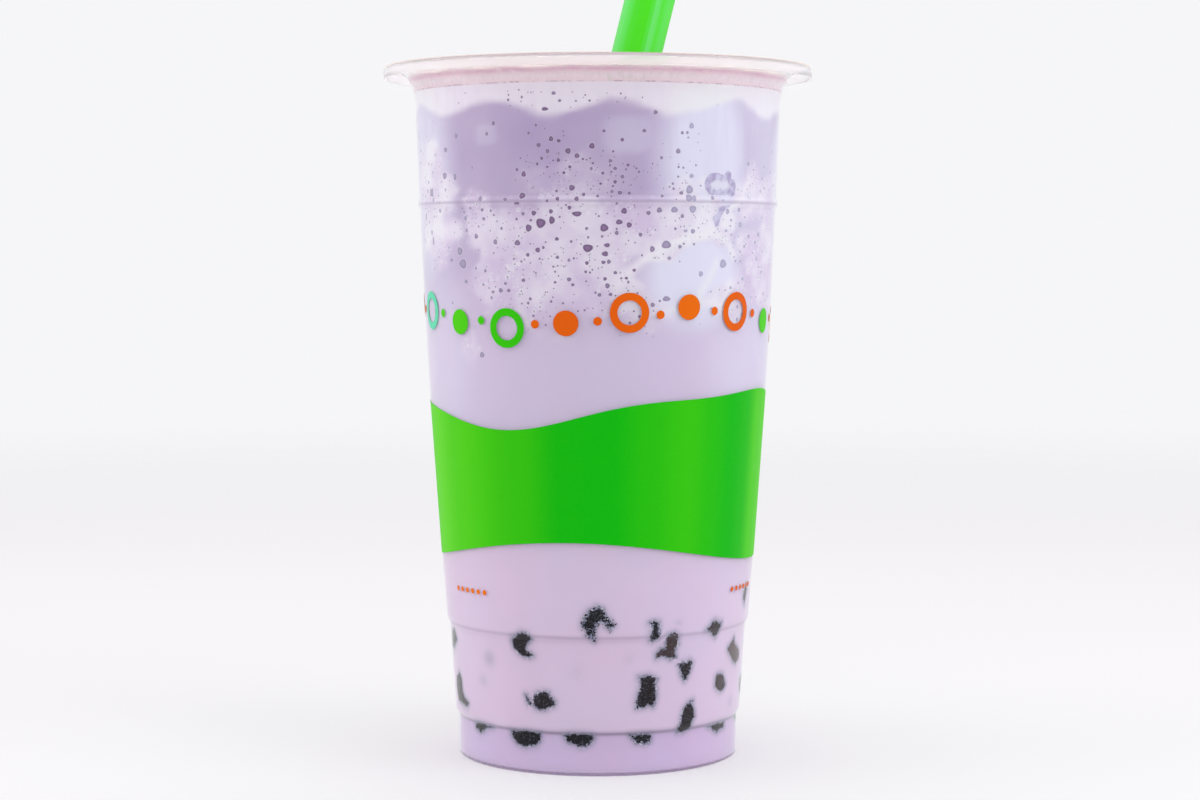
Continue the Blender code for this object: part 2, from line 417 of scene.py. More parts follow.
drink = {
    "level": 146.7, "frothStart": 97.0, "waves": ((2, 2.4), (5, 1.4)), "waveReach": 9.0,
    "ring": 0.62, "sides": 232, "footCentre": 1.35,
    # milkBounceLit is painted warm bounce light low down; milkFootShade is painted shade over the foot
    "milk": "#E5D6ED", "milkPink": "#E9D6EC", "milkBlue": "#E1D9F1", "milkBounceLit": "#F2DBF1", "milkFootShade": "#DEC3EA",
    # veil: pale milk film with painted side light and highlights
    "purple": "#C8B6D8", "purplePink": "#D3C3DE", "froth": "#E8D8F0", "frothBright": "#FDF9FF", "veil": "#F2F0FF",
    # crease is painted shade for the lines at the ledges, the bead and the bottom edge
    "crease": "#A997B2", "shade": "#A8A8BE", "bubbleShade": "#9780A3", "bubbleHalo": "#F8F4FC",
    # bandVeilAndSheen: the pale band where painted side light falls on it
    "band": "#FDF6FF", "bandVeilAndSheen": "#FFFEFF",
}

# froth on the wall: angle, height, half width (degrees), half height, strength
frothPatches = [
    (-12, 113, 24, 10.5, 0.9), (15, 114.5, 20, 8, 0.95), (-30, 106, 13, 8, 0.8), (4, 103, 16, 5.5, 0.8),
    (-67, 125, 12, 10, 1.1), (-60, 113, 8, 7, 0.8), (-63, 137, 5, 5, 0.25), (-45, 91, 5, 3.5, 0.55),
    (-42, 118, 9, 6, 0.85), (-6, 126, 20, 4, 0.35), (30, 122, 8, 5, 0.85), (70, 121, 10, 9, 0.8),
    (40, 118, 10, 5, 1), (48, 101, 10, 6, 0.9), (31, 115.5, 11, 2.6, 1), (68, 106, 10, 7, 0.85),
    (56, 124, 8, 5, 0.8), (-36, 111, 8, 5, 0.9), (14, 98, 9, 4, 0.5), (-20, 98, 13, 4, 0.55),
    (60, 112, 7, 5, 0.8),
]
frothGaps = [
    (20, 106.5, 13, 4.2, 0.85), (34, 108.5, 9, 4.6, 0.95), (-52, 106, 5, 7, 0.6), (-40, 133, 14, 9, 0.9),
    (33, 134, 14, 6, 0.6), (-44, 99, 7, 4, 0.6),
]
# thin milk film with painted side light and highlights: pale patches, given like the froth
veilsAndSheen = [
    (36, 131, 17, 19, 1), (52, 131, 29, 22, 0.48), (28.6, 141, 2.6, 4.5, 0.6), (-70, 128, 17, 22, 0.75),
    (33, 106, 18, 10, 1.15), (60, 90, 22, 16, 0.35), (-64, 92, 16, 18, 0.3),
]
# painted reflections of windows in the wall, as squarish pale places
paintedReflections = [  # squarish pale places, given in the same way
    (9.5, 136, 7.6, 3.7, 0.34), (-36.2, 136.4, 3.8, 2.1, 0.3),
]
dottyPatches = [  # places with many small bubbles in smooth drink
    (-16, 135.5, 6, 2.8, 1), (-13, 130, 12, 5, 0.5), (0, 127.5, 18, 4.5, 0.75), (-44, 120.5, 5, 1.8, 1),
    (51, 113.4, 5, 5, 0.9), (-8, 144.2, 22, 1.6, 0.4), (66, 127, 7, 4, 0.5), (24, 129, 6, 4, 0.35),
    (74, 122, 5, 6, 0.6), (-18, 141.8, 9, 1.4, 0.35), (28, 133, 5, 5, 0.25),
]
shades = [  # pearls deep in the drink: angle, height, radius, strength
    (-46.2, 24.1, 1.7, 0.5), (-50.6, 19, 1.4, 0.3), (31, 32.6, 0.9, 0.3), (12, 25.4, 1.2, 0.16),
    (-8, 22.6, 1.5, 0.14), (66, 13.2, 1.4, 0.3),
]


def addBackFroth():
    # each range is for one of a patch's numbers after its angle
    chance = random.Random(41)
    for place in range(22):
        angle = 84 + place * 192 / 21 + chance.uniform(-5, 5)
        wanted = [(frothPatches, 0, True, [(101, 121), (9, 21), (5, 10), (0.75, 1)]),
                  (frothGaps, 8, place % 3 == 0, [(104, 130), (5, 10), (3, 6), (0.85, 0.85)]),
                  (veilsAndSheen, (-14, 14), place % 4 == 0, [(118, 136), (13, 26), (9, 20), (0.35, 0.75)]),
                  (dottyPatches, 4, place % 2, [(118, 138), (4, 9), (2, 5), (0.4, 0.9)]),
                  (shades, 0, place % 2, [(14, 34), (1, 1.9), (0.15, 0.4)])]
        for patches, aside, here, ranges in wanted:
            if here:
                turned = angle + (chance.uniform(*aside) if isinstance(aside, tuple) else aside)
                sizes = [low if low == high else chance.uniform(low, high) for low, high in ranges]
                patches.append((turned, *sizes))


def patchSum(patches, angle, z, soft, square=2):
    # the strongest patch at this place, with soft edges
    best = 0.0
    for middle, height, halfAngle, halfHeight, strength in patches:
        across = turnFrom(middle, angle)
        if abs(across) > halfAngle * 1.6 or abs(z - height) > halfHeight * 1.6:
            continue
        reach = (abs(across / halfAngle) ** square + abs((z - height) / halfHeight) ** square) ** (1 / square)
        best = max(best, strength * smoothStep(1 + soft, 1 - soft, reach))
    return best


def frothAt(angle, z):
    lobes = noise.noise(aroundCup(angle, z * 0.16))
    small = noise.noise(aroundCup(angle, 0) * 2.7 + Vector((5, 5, z * 0.45)))
    bent = angle + 7 * lobes + 2.5 * small
    lifted = z + 3.2 * noise.noise(aroundCup(angle, 0) * 1.3 + Vector((9, 2, z * 0.12))) + 1.3 * small
    amount = patchSum(frothPatches, bent, lifted, 0.42)
    return amount * (1 - patchSum(frothGaps, bent, lifted, 0.25))


def bandAt(angle, z):
    # smooth pale foam: the band under the neck, and thin arcs that run through the froth
    lowEdge = band["edge"] + band["lobe"] * math.cos(math.radians(band["lobes"] * (angle - band["phase"])))
    small = noise.noise(aroundCup(angle, 0) * 2.7 + Vector((5, 5, z * 0.45)))
    lifted = z + 1.5 * noise.noise(aroundCup(angle, z * 0.16)) + 0.7 * small
    share = smoothStep(lowEdge - 1.3, lowEdge + 1.0, lifted)
    for halfWidth, strength, arc in band["arcs"]:
        if abs(z - arc[0][1]) > 30:
            continue
        for (a0, z0), (a1, z1) in zip(arc, arc[1:]):
            across, along = math.radians(a1 - a0) * 38, z1 - z0
            x, y = math.radians(turnFrom(a0, angle)) * 38, z - z0
            t = min(1.0, max(0.0, (x * across + y * along) / (across ** 2 + along ** 2)))
            apart = (x - across * t) ** 2 + (y - along * t) ** 2
            share = max(share, strength * math.exp(-apart / halfWidth ** 2))
    return share


band = {
    "edge": 142.1, "lobe": 1.3, "lobes": 9, "phase": 6,
    "arcs": [  # half width, strength, and the places that each runs through
        (1.0, 1.0, [(6.4, 104.9), (13.3, 109.7), (21.4, 113), (30.1, 114.9), (38.5, 115.8), (45.2, 114.1),
                    (48.4, 111)]),
        (0.9, 0.8, [(-55.2, 127.6), (-56.3, 122.9), (-60.9, 118.3), (-74.1, 112.7)]),
        (0.8, 0.9, [(55, 127.6), (51.5, 123.1), (44.7, 120.7), (43.2, 117.3)]),
        (0.9, 0.6, [(40.6, 109.7), (37.5, 105.9), (34.4, 103.4), (34.6, 100.4)]),
        (0.8, 0.5, [(13.5, 98), (21.8, 99.2), (30.7, 100.5)]),
    ],
}
# painted shade: dark lines where shade falls at the upper ledge, the lower ledge and the bead
creaseShadeLines = [(30.1, 0.33, 0.42), (9.2, 0.45, 0.88), (122.4, 0.3, 0.62)]  # height, half height, strength


def creaseShadeAt(z):
    # painted shade at the steps, and a painted contact shadow along the bottom edge
    lines = sum(strength * math.exp(-((z - height) / half) ** 2) for height, half, strength in creaseShadeLines)
    return min(1.0, lines + 0.5 * smoothStep(0.9, 0.3, z))


def shadeAt(angle, z):
    total = 0.0
    for middle, height, size, strength in shades:
        across = math.radians(turnFrom(middle, angle)) * drinkRadius(z)
        total = max(total, strength * math.exp(-(across ** 2 + (z - height) ** 2) / size ** 2))
    return total


def waveAt(angle):
    a = math.radians(angle - 90)
    return sum(depth * math.cos(count * a) for count, depth in drink["waves"])


def addWave(piece):
    # the line between drink and froth rises and falls, as in the solids
    for vertex in piece.data.vertices:
        z, r = vertex.co.z / mm, math.hypot(vertex.co.x, vertex.co.y) / mm
        near = max(0.0, 1 - abs(z - drink["frothStart"]) / drink["waveReach"])
        if near and r > 1:
            share = r / drinkRadius(z)
            lifted = z + waveAt(angleOf(vertex.co)) * near * share
            scale = drinkRadius(lifted) / drinkRadius(z)
            vertex.co = (vertex.co.x * scale, vertex.co.y * scale, lifted * mm)


def paintDrink(piece):
    marks = {"froth": [], "band": [], "veil": [], "deep": [], "crease": [], "shade": []}
    for vertex in piece.data.vertices:
        z, angle = vertex.co.z / mm, angleOf(vertex.co)
        upper = z > 72
        marks["froth"].append(frothAt(angle, z) if upper else 0.0)
        marks["band"].append(bandAt(angle, z) if upper else 0.0)
        # the veil mark takes the milk film, the painted side light and highlights, and the painted window
        # reflections
        pale = max(patchSum(veilsAndSheen, angle, z, 0.45), patchSum(paintedReflections, angle, z, 0.3, 4)) if upper else 0.0
        marks["veil"].append(pale)
        marks["deep"].append(smoothStep(90, 124, z))
        marks["crease"].append(creaseShadeAt(z))
        marks["shade"].append(0.0 if upper else shadeAt(angle, z))
    for name, values in marks.items():
        setAttribute(piece, name, values)


def milkColour(add, place):
    # the drink's colour where it meets the wall: bluer high up, pinker and paler low down as painted warm bounce
    # light, purple behind the froth, and painted shade over the foot
    clouds = add("TexNoise", {"Scale": perMetre(17), "Detail": 2.0, "Roughness": 0.5, "Vector": place})
    blush = add("MapRange", {"From Min": 0.36, "From Max": 0.66, "Value": clouds})
    height = add("SeparateXYZ", {0: place}, "Z")
    # painted warm bounce light: paler and pinker from 78 mm down to 38 mm
    low = add("MapRange", {**soft, "From Min": 78 * mm, "From Max": 38 * mm, "Value": height})
    # painted shade: darker and purpler below the lower ledge
    foot = add("MapRange", {**soft, "From Min": 9.6 * mm, "From Max": 8.6 * mm, "To Max": 0.8,
                            "Value": height})
    deep, shade = [add("Attribute", {"attribute_name": name}, "Fac") for name in ("deep", "shade")]
    tones = dict(drink)
    for name, share, first, second in (
            ("pale", blush, "milkBlue", "milkPink"), ("body", low, "milk", "milkBounceLit"),
            ("footShaded", foot, "body", "milkFootShade"), ("even", 0.35, "footShaded", "pale"),
            ("rich", blush, "purple", "purplePink"), ("mixed", deep, "even", "rich"),
            ("shaded", shade, "mixed", "shade")):
        tones[name] = add("Mix", {**rgba, 0: share, 6: tones[first], 7: tones[second]}, 2)
    return tones["shaded"]


def dimples(add, place, size, radius, cover):
    # round marks of tiny bubbles: their dark middles, painted shade of the milk seen through the air, and the
    # pale rings round them
    cells = add("TexVoronoi", {"Scale": perMetre(size), "Vector": place}, "Distance")
    marks = []
    for outer, inner in ((0.06, -0.08), (0.24, 0.05)):
        share = add("MapRange", {**soft, "From Min": radius + outer, "From Max": radius + inner,
                                 "Value": cells})
        marks.append(add("Math", {"operation": "MULTIPLY", 0: share, 1: cover}))
    return marks


def taroMilkTea():
    # milk tea with taro, shaken: an opaque lavender liquid, with froth and tiny bubbles where it clings
    material, add = newMaterial("taroMilkTea")
    place = add("TexCoord", {}, "Object")
    veil, froth, band, crease = [add("Attribute", {"attribute_name": name}, "Fac")
                                 for name in ("veil", "froth", "band", "crease")]
    # runs 2 mm wide, drawn out downwards
    tall = add("Mapping", {"Scale": (1, 1, 0.14), "Vector": place})
    runs = add("TexNoise", {"Scale": perMetre(1.8), "Detail": 3.0, "Roughness": 0.55, "Vector": tall})
    runShare = add("MapRange", {"From Min": 0.3, "From Max": 0.7, "To Min": 0.9, "To Max": 1.08,
                                "Value": runs})
    veilAndSheenShare, bandShare = [add("Math", {"operation": "MULTIPLY", "use_clamp": True, 0: mark, 1: runShare})
                            for mark in (veil, band)]

    # heaps of foam and the grain in them
    heaps = add("TexNoise", {"Scale": perMetre(7), "Detail": 2.0, "Roughness": 0.45, "Vector": place})
    foam = add("TexNoise", {"Scale": perMetre(1.3), "Detail": 2.0, "Roughness": 0.55, "Vector": place})
    swing = add("Math", {"operation": "MULTIPLY_ADD", 0: heaps, 1: 0.7, 2: -0.35})
    grain = add("Math", {"operation": "MULTIPLY_ADD", 0: foam, 1: 0.12, 2: swing})
    edge = add("Math", {"operation": "ADD", 0: froth, 1: grain})
    mask = add("MapRange", {**soft, "From Min": 0.1, "From Max": 0.95, "Value": edge})
    heaped = add("MapRange", {"From Min": 0.38, "From Max": 0.64, "To Min": -0.15, "To Max": 0.55,
                              "Value": heaps})
    grained = add("Math", {"operation": "MULTIPLY_ADD", 0: foam, 1: 0.16, 2: heaped})
    # painted side light in the veil also lightens the froth
    tone = add("Math", {"operation": "MULTIPLY_ADD", "use_clamp": True, 0: veil, 1: 0.55, 2: grained})
    foamTone = add("Mix", {**rgba, 0: tone, 6: drink["froth"], 7: drink["frothBright"]}, 2)
    # the band turns lighter where the veil's painted side light falls
    bandTone = add("Mix", {**rgba, 0: veilAndSheenShare, 6: drink["band"], 7: drink["bandVeilAndSheen"]}, 2)

    layers = [(veilAndSheenShare, drink["veil"]), (mask, foamTone), (bandShare, bandTone)]
    bunches = add("TexNoise", {"Scale": perMetre(5), "Detail": 1.0, "Vector": place})
    bunched = add("MapRange", {**soft, "From Min": 0.4, "From Max": 0.58, "Value": bunches})
    cover = add("Math", {"operation": "MULTIPLY", 0: mask, 1: bunched})
    for size, radius, strength in ((0.9, 0.13, 0.4), (1.9, 0.14, 0.7)):
        hole, ring = dimples(add, place, size, radius, cover)
        dimmed = add("Math", {"operation": "MULTIPLY", 0: hole, 1: strength})
        # bubbleShade is the painted shade in each tiny bubble's middle
        layers += [(ring, drink["bubbleHalo"]), (dimmed, drink["bubbleShade"])]
    painted = milkColour(add, place)
    # the last layer is painted shade at the ledges, the bead and the bottom edge
    for share, tint in layers + [(crease, drink["crease"])]:
        painted = add("Mix", {**rgba, 0: share, 6: painted, 7: tint}, 2)
    bump = add("Bump", {"Strength": 0.2, "Distance": 0.0002, "Height": mask})
    milk = add("BsdfPrincipled", {"Roughness": 0.5, "IOR": 1.35, "Specular IOR Level": 0.1,
                                  "Base Color": painted, "Normal": bump})
    add("OutputMaterial", {0: milk})
    return material


def sideBetween(low, high, step):
    return [p for p in fineLine(lineInWall(contentsDepth), step) if low < p.y < high and p.x > 20]


def makeMilkTea(material):
    footLine = [p for p in fineLine(lineInWall(contentsDepth), 2.5) if p.y < 2.2 and p.x < drinkRadius(2.5)]
    side = sideBetween(2.2, drink["frothStart"], drink["ring"])
    start = drink["frothStart"]
    top = [Vector((r, start)) for r in (0, 12, 24, 34, drinkRadius(start))]
    piece = spinLine("milkTea", top + side + footLine, drink["sides"])
    addWave(piece)
    paintDrink(piece)
    settlePiece(piece, material)
    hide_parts("milk_tea")
    return piece


def makeFroth(material):
    start = drink["frothStart"] - 0.4
    side = sideBetween(start, drink["level"] - 0.3, drink["ring"])
    rim = drinkRadius(drink["level"])
    top = [Vector((r, drink["level"])) for r in [i * rim / 30 for i in range(29)]]
    line = top + [Vector((rim - 0.5, drink["level"] + 0.05)), Vector((rim, drink["level"] + 0.3))] + side
    line += [Vector((drinkRadius(start), start)), Vector((24, start)), Vector((0, start))]
    piece = spinLine("frothLayer", line, drink["sides"])
    addWave(piece)
    for vertex in piece.data.vertices:  # foam domes on top, and a hair more radius than the drink at the side
        r = math.hypot(vertex.co.x, vertex.co.y)
        if vertex.co.z > (drink["level"] - 0.1) * mm and r < (rim - 1) * mm:
            heap = noise.noise(vertex.co * 260) * 0.35 - 0.3 + 0.25 * noise.noise(vertex.co * 700)
            vertex.co.z += heap * mm
        elif r > 20 * mm:
            vertex.co.x *= 1 + 0.02 * mm / r
            vertex.co.y *= 1 + 0.02 * mm / r
    paintDrink(piece)
    settlePiece(piece, material)
    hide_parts("froth")
    return piece


addBackFroth()
milk = taroMilkTea()
makeMilkTea(milk)
makeFroth(milk)
print("drink: milk tea and froth fill the cup")

residue = {  # height, half height, colour of each line in the dried foam
    "mauve": (149.7, 0.5, "#EDC6D9"), "pale": (148.35, 0.5, "#FFF3FA"), "foot": (147.1, 0.14, "#BD9FB4"),
    "body": "#FFECF3", "top": 150.5, "bottom": 146.2,
}


def milkResidue():
    # thin milk foam drying on the plastic above the drink: pinkish, in level lines, streaked, with ragged gaps
    material, add = newMaterial("driedMilkFoam")
    place = add("TexCoord", {}, "Object")
    tall = add("Mapping", {"Scale": (1, 1, 0.3), "Vector": place})
    runs = add("TexNoise", {"Scale": perMetre(1.1), "Detail": 4.0, "Roughness": 0.65, "Vector": tall})
    patchy = add("MapRange", {"From Min": 0.34, "From Max": 0.62, "To Min": 0.4, "Value": runs})
    dotted = add("MapRange", {"From Min": 0.45, "From Max": 0.56, "Value": runs})
    painted = residue["body"]
    for name, broken in (("mauve", patchy), ("pale", patchy), ("foot", dotted)):
        line = add("Attribute", {"attribute_name": name}, "Fac")
        share = add("Math", {"operation": "MULTIPLY", 0: line, 1: broken})
        painted = add("Mix", {**rgba, 0: share, 6: painted, 7: residue[name][2]}, 2)
    cover = add("Attribute", {"attribute_name": "cover"}, "Fac")
    edge = add("Math", {"operation": "MULTIPLY_ADD", 0: runs, 1: 0.8, 2: -0.4})
    share = add("Math", {"operation": "ADD", "use_clamp": True, 0: cover, 1: edge})
    foam = add("BsdfPrincipled", {"Roughness": 0.5, "Specular IOR Level": 0.1, "Base Color": painted})
    through = add("BsdfTranslucent", {"Color": painted})
    lit = add("MixShader", {0: 0.12, 1: foam, 2: through})
    mixed = add("MixShader", {0: share, 1: add("BsdfTransparent", {}), 2: lit})
    add("OutputMaterial", {0: mixed})
    return material


def makeResidue():
    line = [p for p in fineLine(lineInWall(0.62), 0.16) if residue["bottom"] < p.y < 150.9 and p.x < 45.5]
    piece = spinLine("neckResidue", line, 220)
    marks = {"cover": [], "mauve": [], "pale": [], "foot": []}
    for vertex in piece.data.vertices:
        z = vertex.co.z / mm
        ragged = noise.noise(Vector((vertex.co.x, vertex.co.y, 0)) * 140) * 0.5
        top = residue["top"] + ragged
        marks["cover"].append(smoothStep(top + 0.4, top - 0.5, z) * 0.97)
        for name in ("mauve", "pale", "foot"):
            marks[name].append(math.exp(-((z - residue[name][0] - 0.25 * ragged) / residue[name][1]) ** 2))
    for name, values in marks.items():
        setAttribute(piece, name, values)
    settlePiece(piece, milkResidue())


makeResidue()

# the larger bubbles: angle, height, width, height of the bubble
bigBubbles = [
    (-8.9, 132.7, 1.3, 1.3), (-6.2, 131.7, 1.1, 1.1), (-1.7, 133.7, 1.3, 1.3), (-7.8, 125.1, 1.3, 1.3),
    (-23.5, 123.5, 1.5, 1.4), (-6.3, 119.7, 2.1, 1.1), (-17.7, 117.8, 2.2, 2.1), (-14.1, 118.4, 1.3, 1.7),
    (-19.9, 119.9, 1.1, 1.1), (-8.4, 129.4, 0.7, 0.7), (-10.2, 128.2, 0.7, 0.7), (-11.7, 134.8, 0.9, 0.8),
    (-54.7, 133.6, 1.5, 1.1), (-55.8, 128.1, 1.7, 1.5), (-65.8, 124.6, 1.5, 1.9), (-25.3, 122, 1.4, 0.6),
    (-23, 128, 1.1, 1.3), (1.9, 136.8, 0.7, 0.7), (29.5, 138.1, 1.1, 1.3), (7.4, 135, 0.8, 0.8),
    (14.1, 136.9, 0.9, 0.8), (9.2, 129.8, 0.7, 0.7), (5.3, 126.3, 0.8, 0.8), (1.6, 128.1, 0.7, 0.7),
    (29.3, 124.8, 1.7, 1.9), (29.9, 127.7, 1.1, 0.9), (30.8, 122.9, 1, 1.3), (30.6, 120.8, 1.7, 1.7),
    (24.2, 120.6, 1.6, 1.3), (19.2, 120.5, 1.2, 1.2), (8.1, 120.3, 1.3, 1.3), (15.7, 119.9, 1, 0.9),
    (6.6, 118, 1.5, 1.1), (54.2, 130.6, 1.1, 1.1), (-21.7, 116.8, 1.4, 1.6), (-25.6, 113.7, 1.4, 1.2),
    (-33.6, 113.9, 1, 1.2), (-3, 112.6, 2.2, 1.7), (-18.8, 112.2, 1.1, 1.1), (-12.6, 114.5, 0.9, 0.8),
    (-49.1, 112, 1.9, 1.9), (-47.8, 109.3, 2.5, 2.2), (-3.3, 109.5, 0.8, 0.8), (-53.7, 110.1, 1.1, 0.9),
    (-23.8, 105.9, 0.9, 0.8), (-40.6, 90, 1.4, 1.3), (2, 116.8, 1.8, 1.7), (9.7, 117.4, 1.2, 1.2),
    (2.9, 113.2, 1.3, 0.9), (2.3, 111.4, 1.4, 1.1), (21.7, 113.3, 2.2, 1.7), (17.1, 112.4, 1.1, 1.3),
    (22.8, 110.5, 0.9, 0.8), (11.4, 108, 0.8, 0.7), (43.4, 109.3, 2, 1.9), (34.3, 107.2, 1.1, 1.2),
    (51, 117.6, 1.3, 1.3), (44.2, 116.3, 0.9, 0.6), (28.2, 116.2, 1, 0.6), (22.1, 102, 1.8, 1.1),
    (2.3, 106.2, 0.8, 0.8), (-64.7, 124.6, 0.9, 2.2), (-72, 119.5, 0.8, 1.8), (-65.7, 114.2, 0.8, 2),
    (-67, 99, 0.8, 1.9), (-48.9, 136.4, 1.2, 1.3), (-50.2, 127.8, 1.1, 1.6), (-15.9, 141.4, 1.5, 0.8),
    (28.9, 123, 1.6, 1.5),
]
smallBubbles = {
    "count": 1750, "low": 94, "high": 145.5, "smallest": 0.25, "largest": 1.1, "inFroth": 0.42, "stray": 0.01,
}


def bubbleSkin():
    # air against clear plastic: a dark purple ring and a paler middle, painted shade of the milk seen through the
    # air, and a bright thin halo
    material, add = newMaterial("bubbleInMilkFoam")
    ring, tone = [add("Attribute", {"attribute_name": name}, "Fac") for name in ("ring", "tone")]
    # tone makes bubbles lighter away from the front and on the right: painted side light
    shadedMilk = add("Mix", {**rgba, 0: tone, 6: "#84678F", 7: "#C0BAD6"}, 2)
    colour = add("Mix", {**rgba, 0: tone, 6: "#967AA0", 7: "#CCC9E0"}, 2)
    for start, end, tint in ((0.25, 0.6, shadedMilk), (0.72, 0.86, "#EDEAF4")):
        share = add("MapRange", {**soft, "From Min": start, "From Max": end, "Value": ring})
        colour = add("Mix", {**rgba, 0: share, 6: colour, 7: tint}, 2)
    skin = add("BsdfPrincipled", {"Roughness": 0.3, "Specular IOR Level": 0.3, "Base Color": colour})
    add("OutputMaterial", {0: skin})
    return material


def firstBubble():
    # one flat bubble, 1 mm across: rings for its halo, its dark edge and its middle
    clearSelection()
    bpy.ops.mesh.primitive_circle_add(vertices=12, radius=0.5, fill_type="NGON")
    piece = nameActive("bubble")
    bpy.ops.object.mode_set(mode="EDIT")
    bpy.ops.mesh.select_all(action="SELECT")
    bpy.ops.mesh.inset(thickness=0.07)
    bpy.ops.mesh.inset(thickness=0.10)
    bpy.ops.mesh.inset(thickness=0.16)
    bpy.ops.mesh.poke()
    bpy.ops.object.mode_set(mode="OBJECT")
    return piece


def placeBubble(pattern, angle, z, width, height, tone, chance):
    copy = pattern.copy()
    copy.data = pattern.data.copy()
    bpy.context.scene.collection.objects.link(copy)
    turn = chance.uniform(0, math.pi)
    slip = 0.012 if z % 0.5 < 0.25 else 0.0
    for vertex in copy.data.vertices:
        x, y = vertex.co.x, vertex.co.y
        ring = math.hypot(x, y) * 2
        bent = 1 + 0.09 * math.sin(3 * math.atan2(y, x) + turn * 5)
        dome = 0.09 - 0.12 * ring ** 4
        here = z + y * height * bent * 1.2
        r = drinkRadius(here) + dome + slip
        vertex.co = onWall(angle + math.degrees(x * width * bent * 1.2 / drinkRadius(z)), here, r)
    setAttribute(copy, "ring", [math.hypot(v.co.x, v.co.y) * 2 for v in pattern.data.vertices])
    setAttribute(copy, "tone", [tone] * len(copy.data.vertices))
    return copy


def makeBubbles():
    chance = random.Random(7)
    pattern = firstBubble()
    copies, taken = [], []
    for angle, z, width, height in bigBubbles:
        # painted side light: lighter away from the front, more so on the right
        tone = smoothStep(12, 40, abs(angle + 5)) * (0.9 if angle > 0 else 0.55)
        copies.append(placeBubble(pattern, angle, z, width, height, tone, chance))
        taken.append((angle, z, max(width, height)))
    low, high, smallest, largest = [smallBubbles[key] for key in ("low", "high", "smallest", "largest")]
    while len(copies) < smallBubbles["count"] + len(bigBubbles):
        angle, z = chance.uniform(-180, 180), chance.uniform(low, high)
        wanted = max(frothAt(angle, z) ** 1.5 * smallBubbles["inFroth"], patchSum(dottyPatches, angle, z, 0.4))
        if chance.random() > wanted + smallBubbles["stray"]:
            continue
        size = smallest + (largest - smallest) * chance.random() ** 3.6  # most are small
        if any(math.hypot((angle - a) * 0.66, z - h) < (s + size) * 0.6 for a, h, s in taken):
            continue
        taken.append((angle, z, size))
        # painted side light: lighter away from the front, with a random spread
        tone = min(1.0, smoothStep(12, 60, abs(angle + 5)) * 0.8 + chance.uniform(0, 0.25))
        copies.append(placeBubble(pattern, angle, z, size, size * chance.uniform(0.8, 1.15), tone, chance))
    piece = joinPieces("frothBubbles", copies)
    bpy.data.objects.remove(pattern)
    settlePiece(piece, bubbleSkin())


makeBubbles()
print("froth: bubbles cling to the wall")

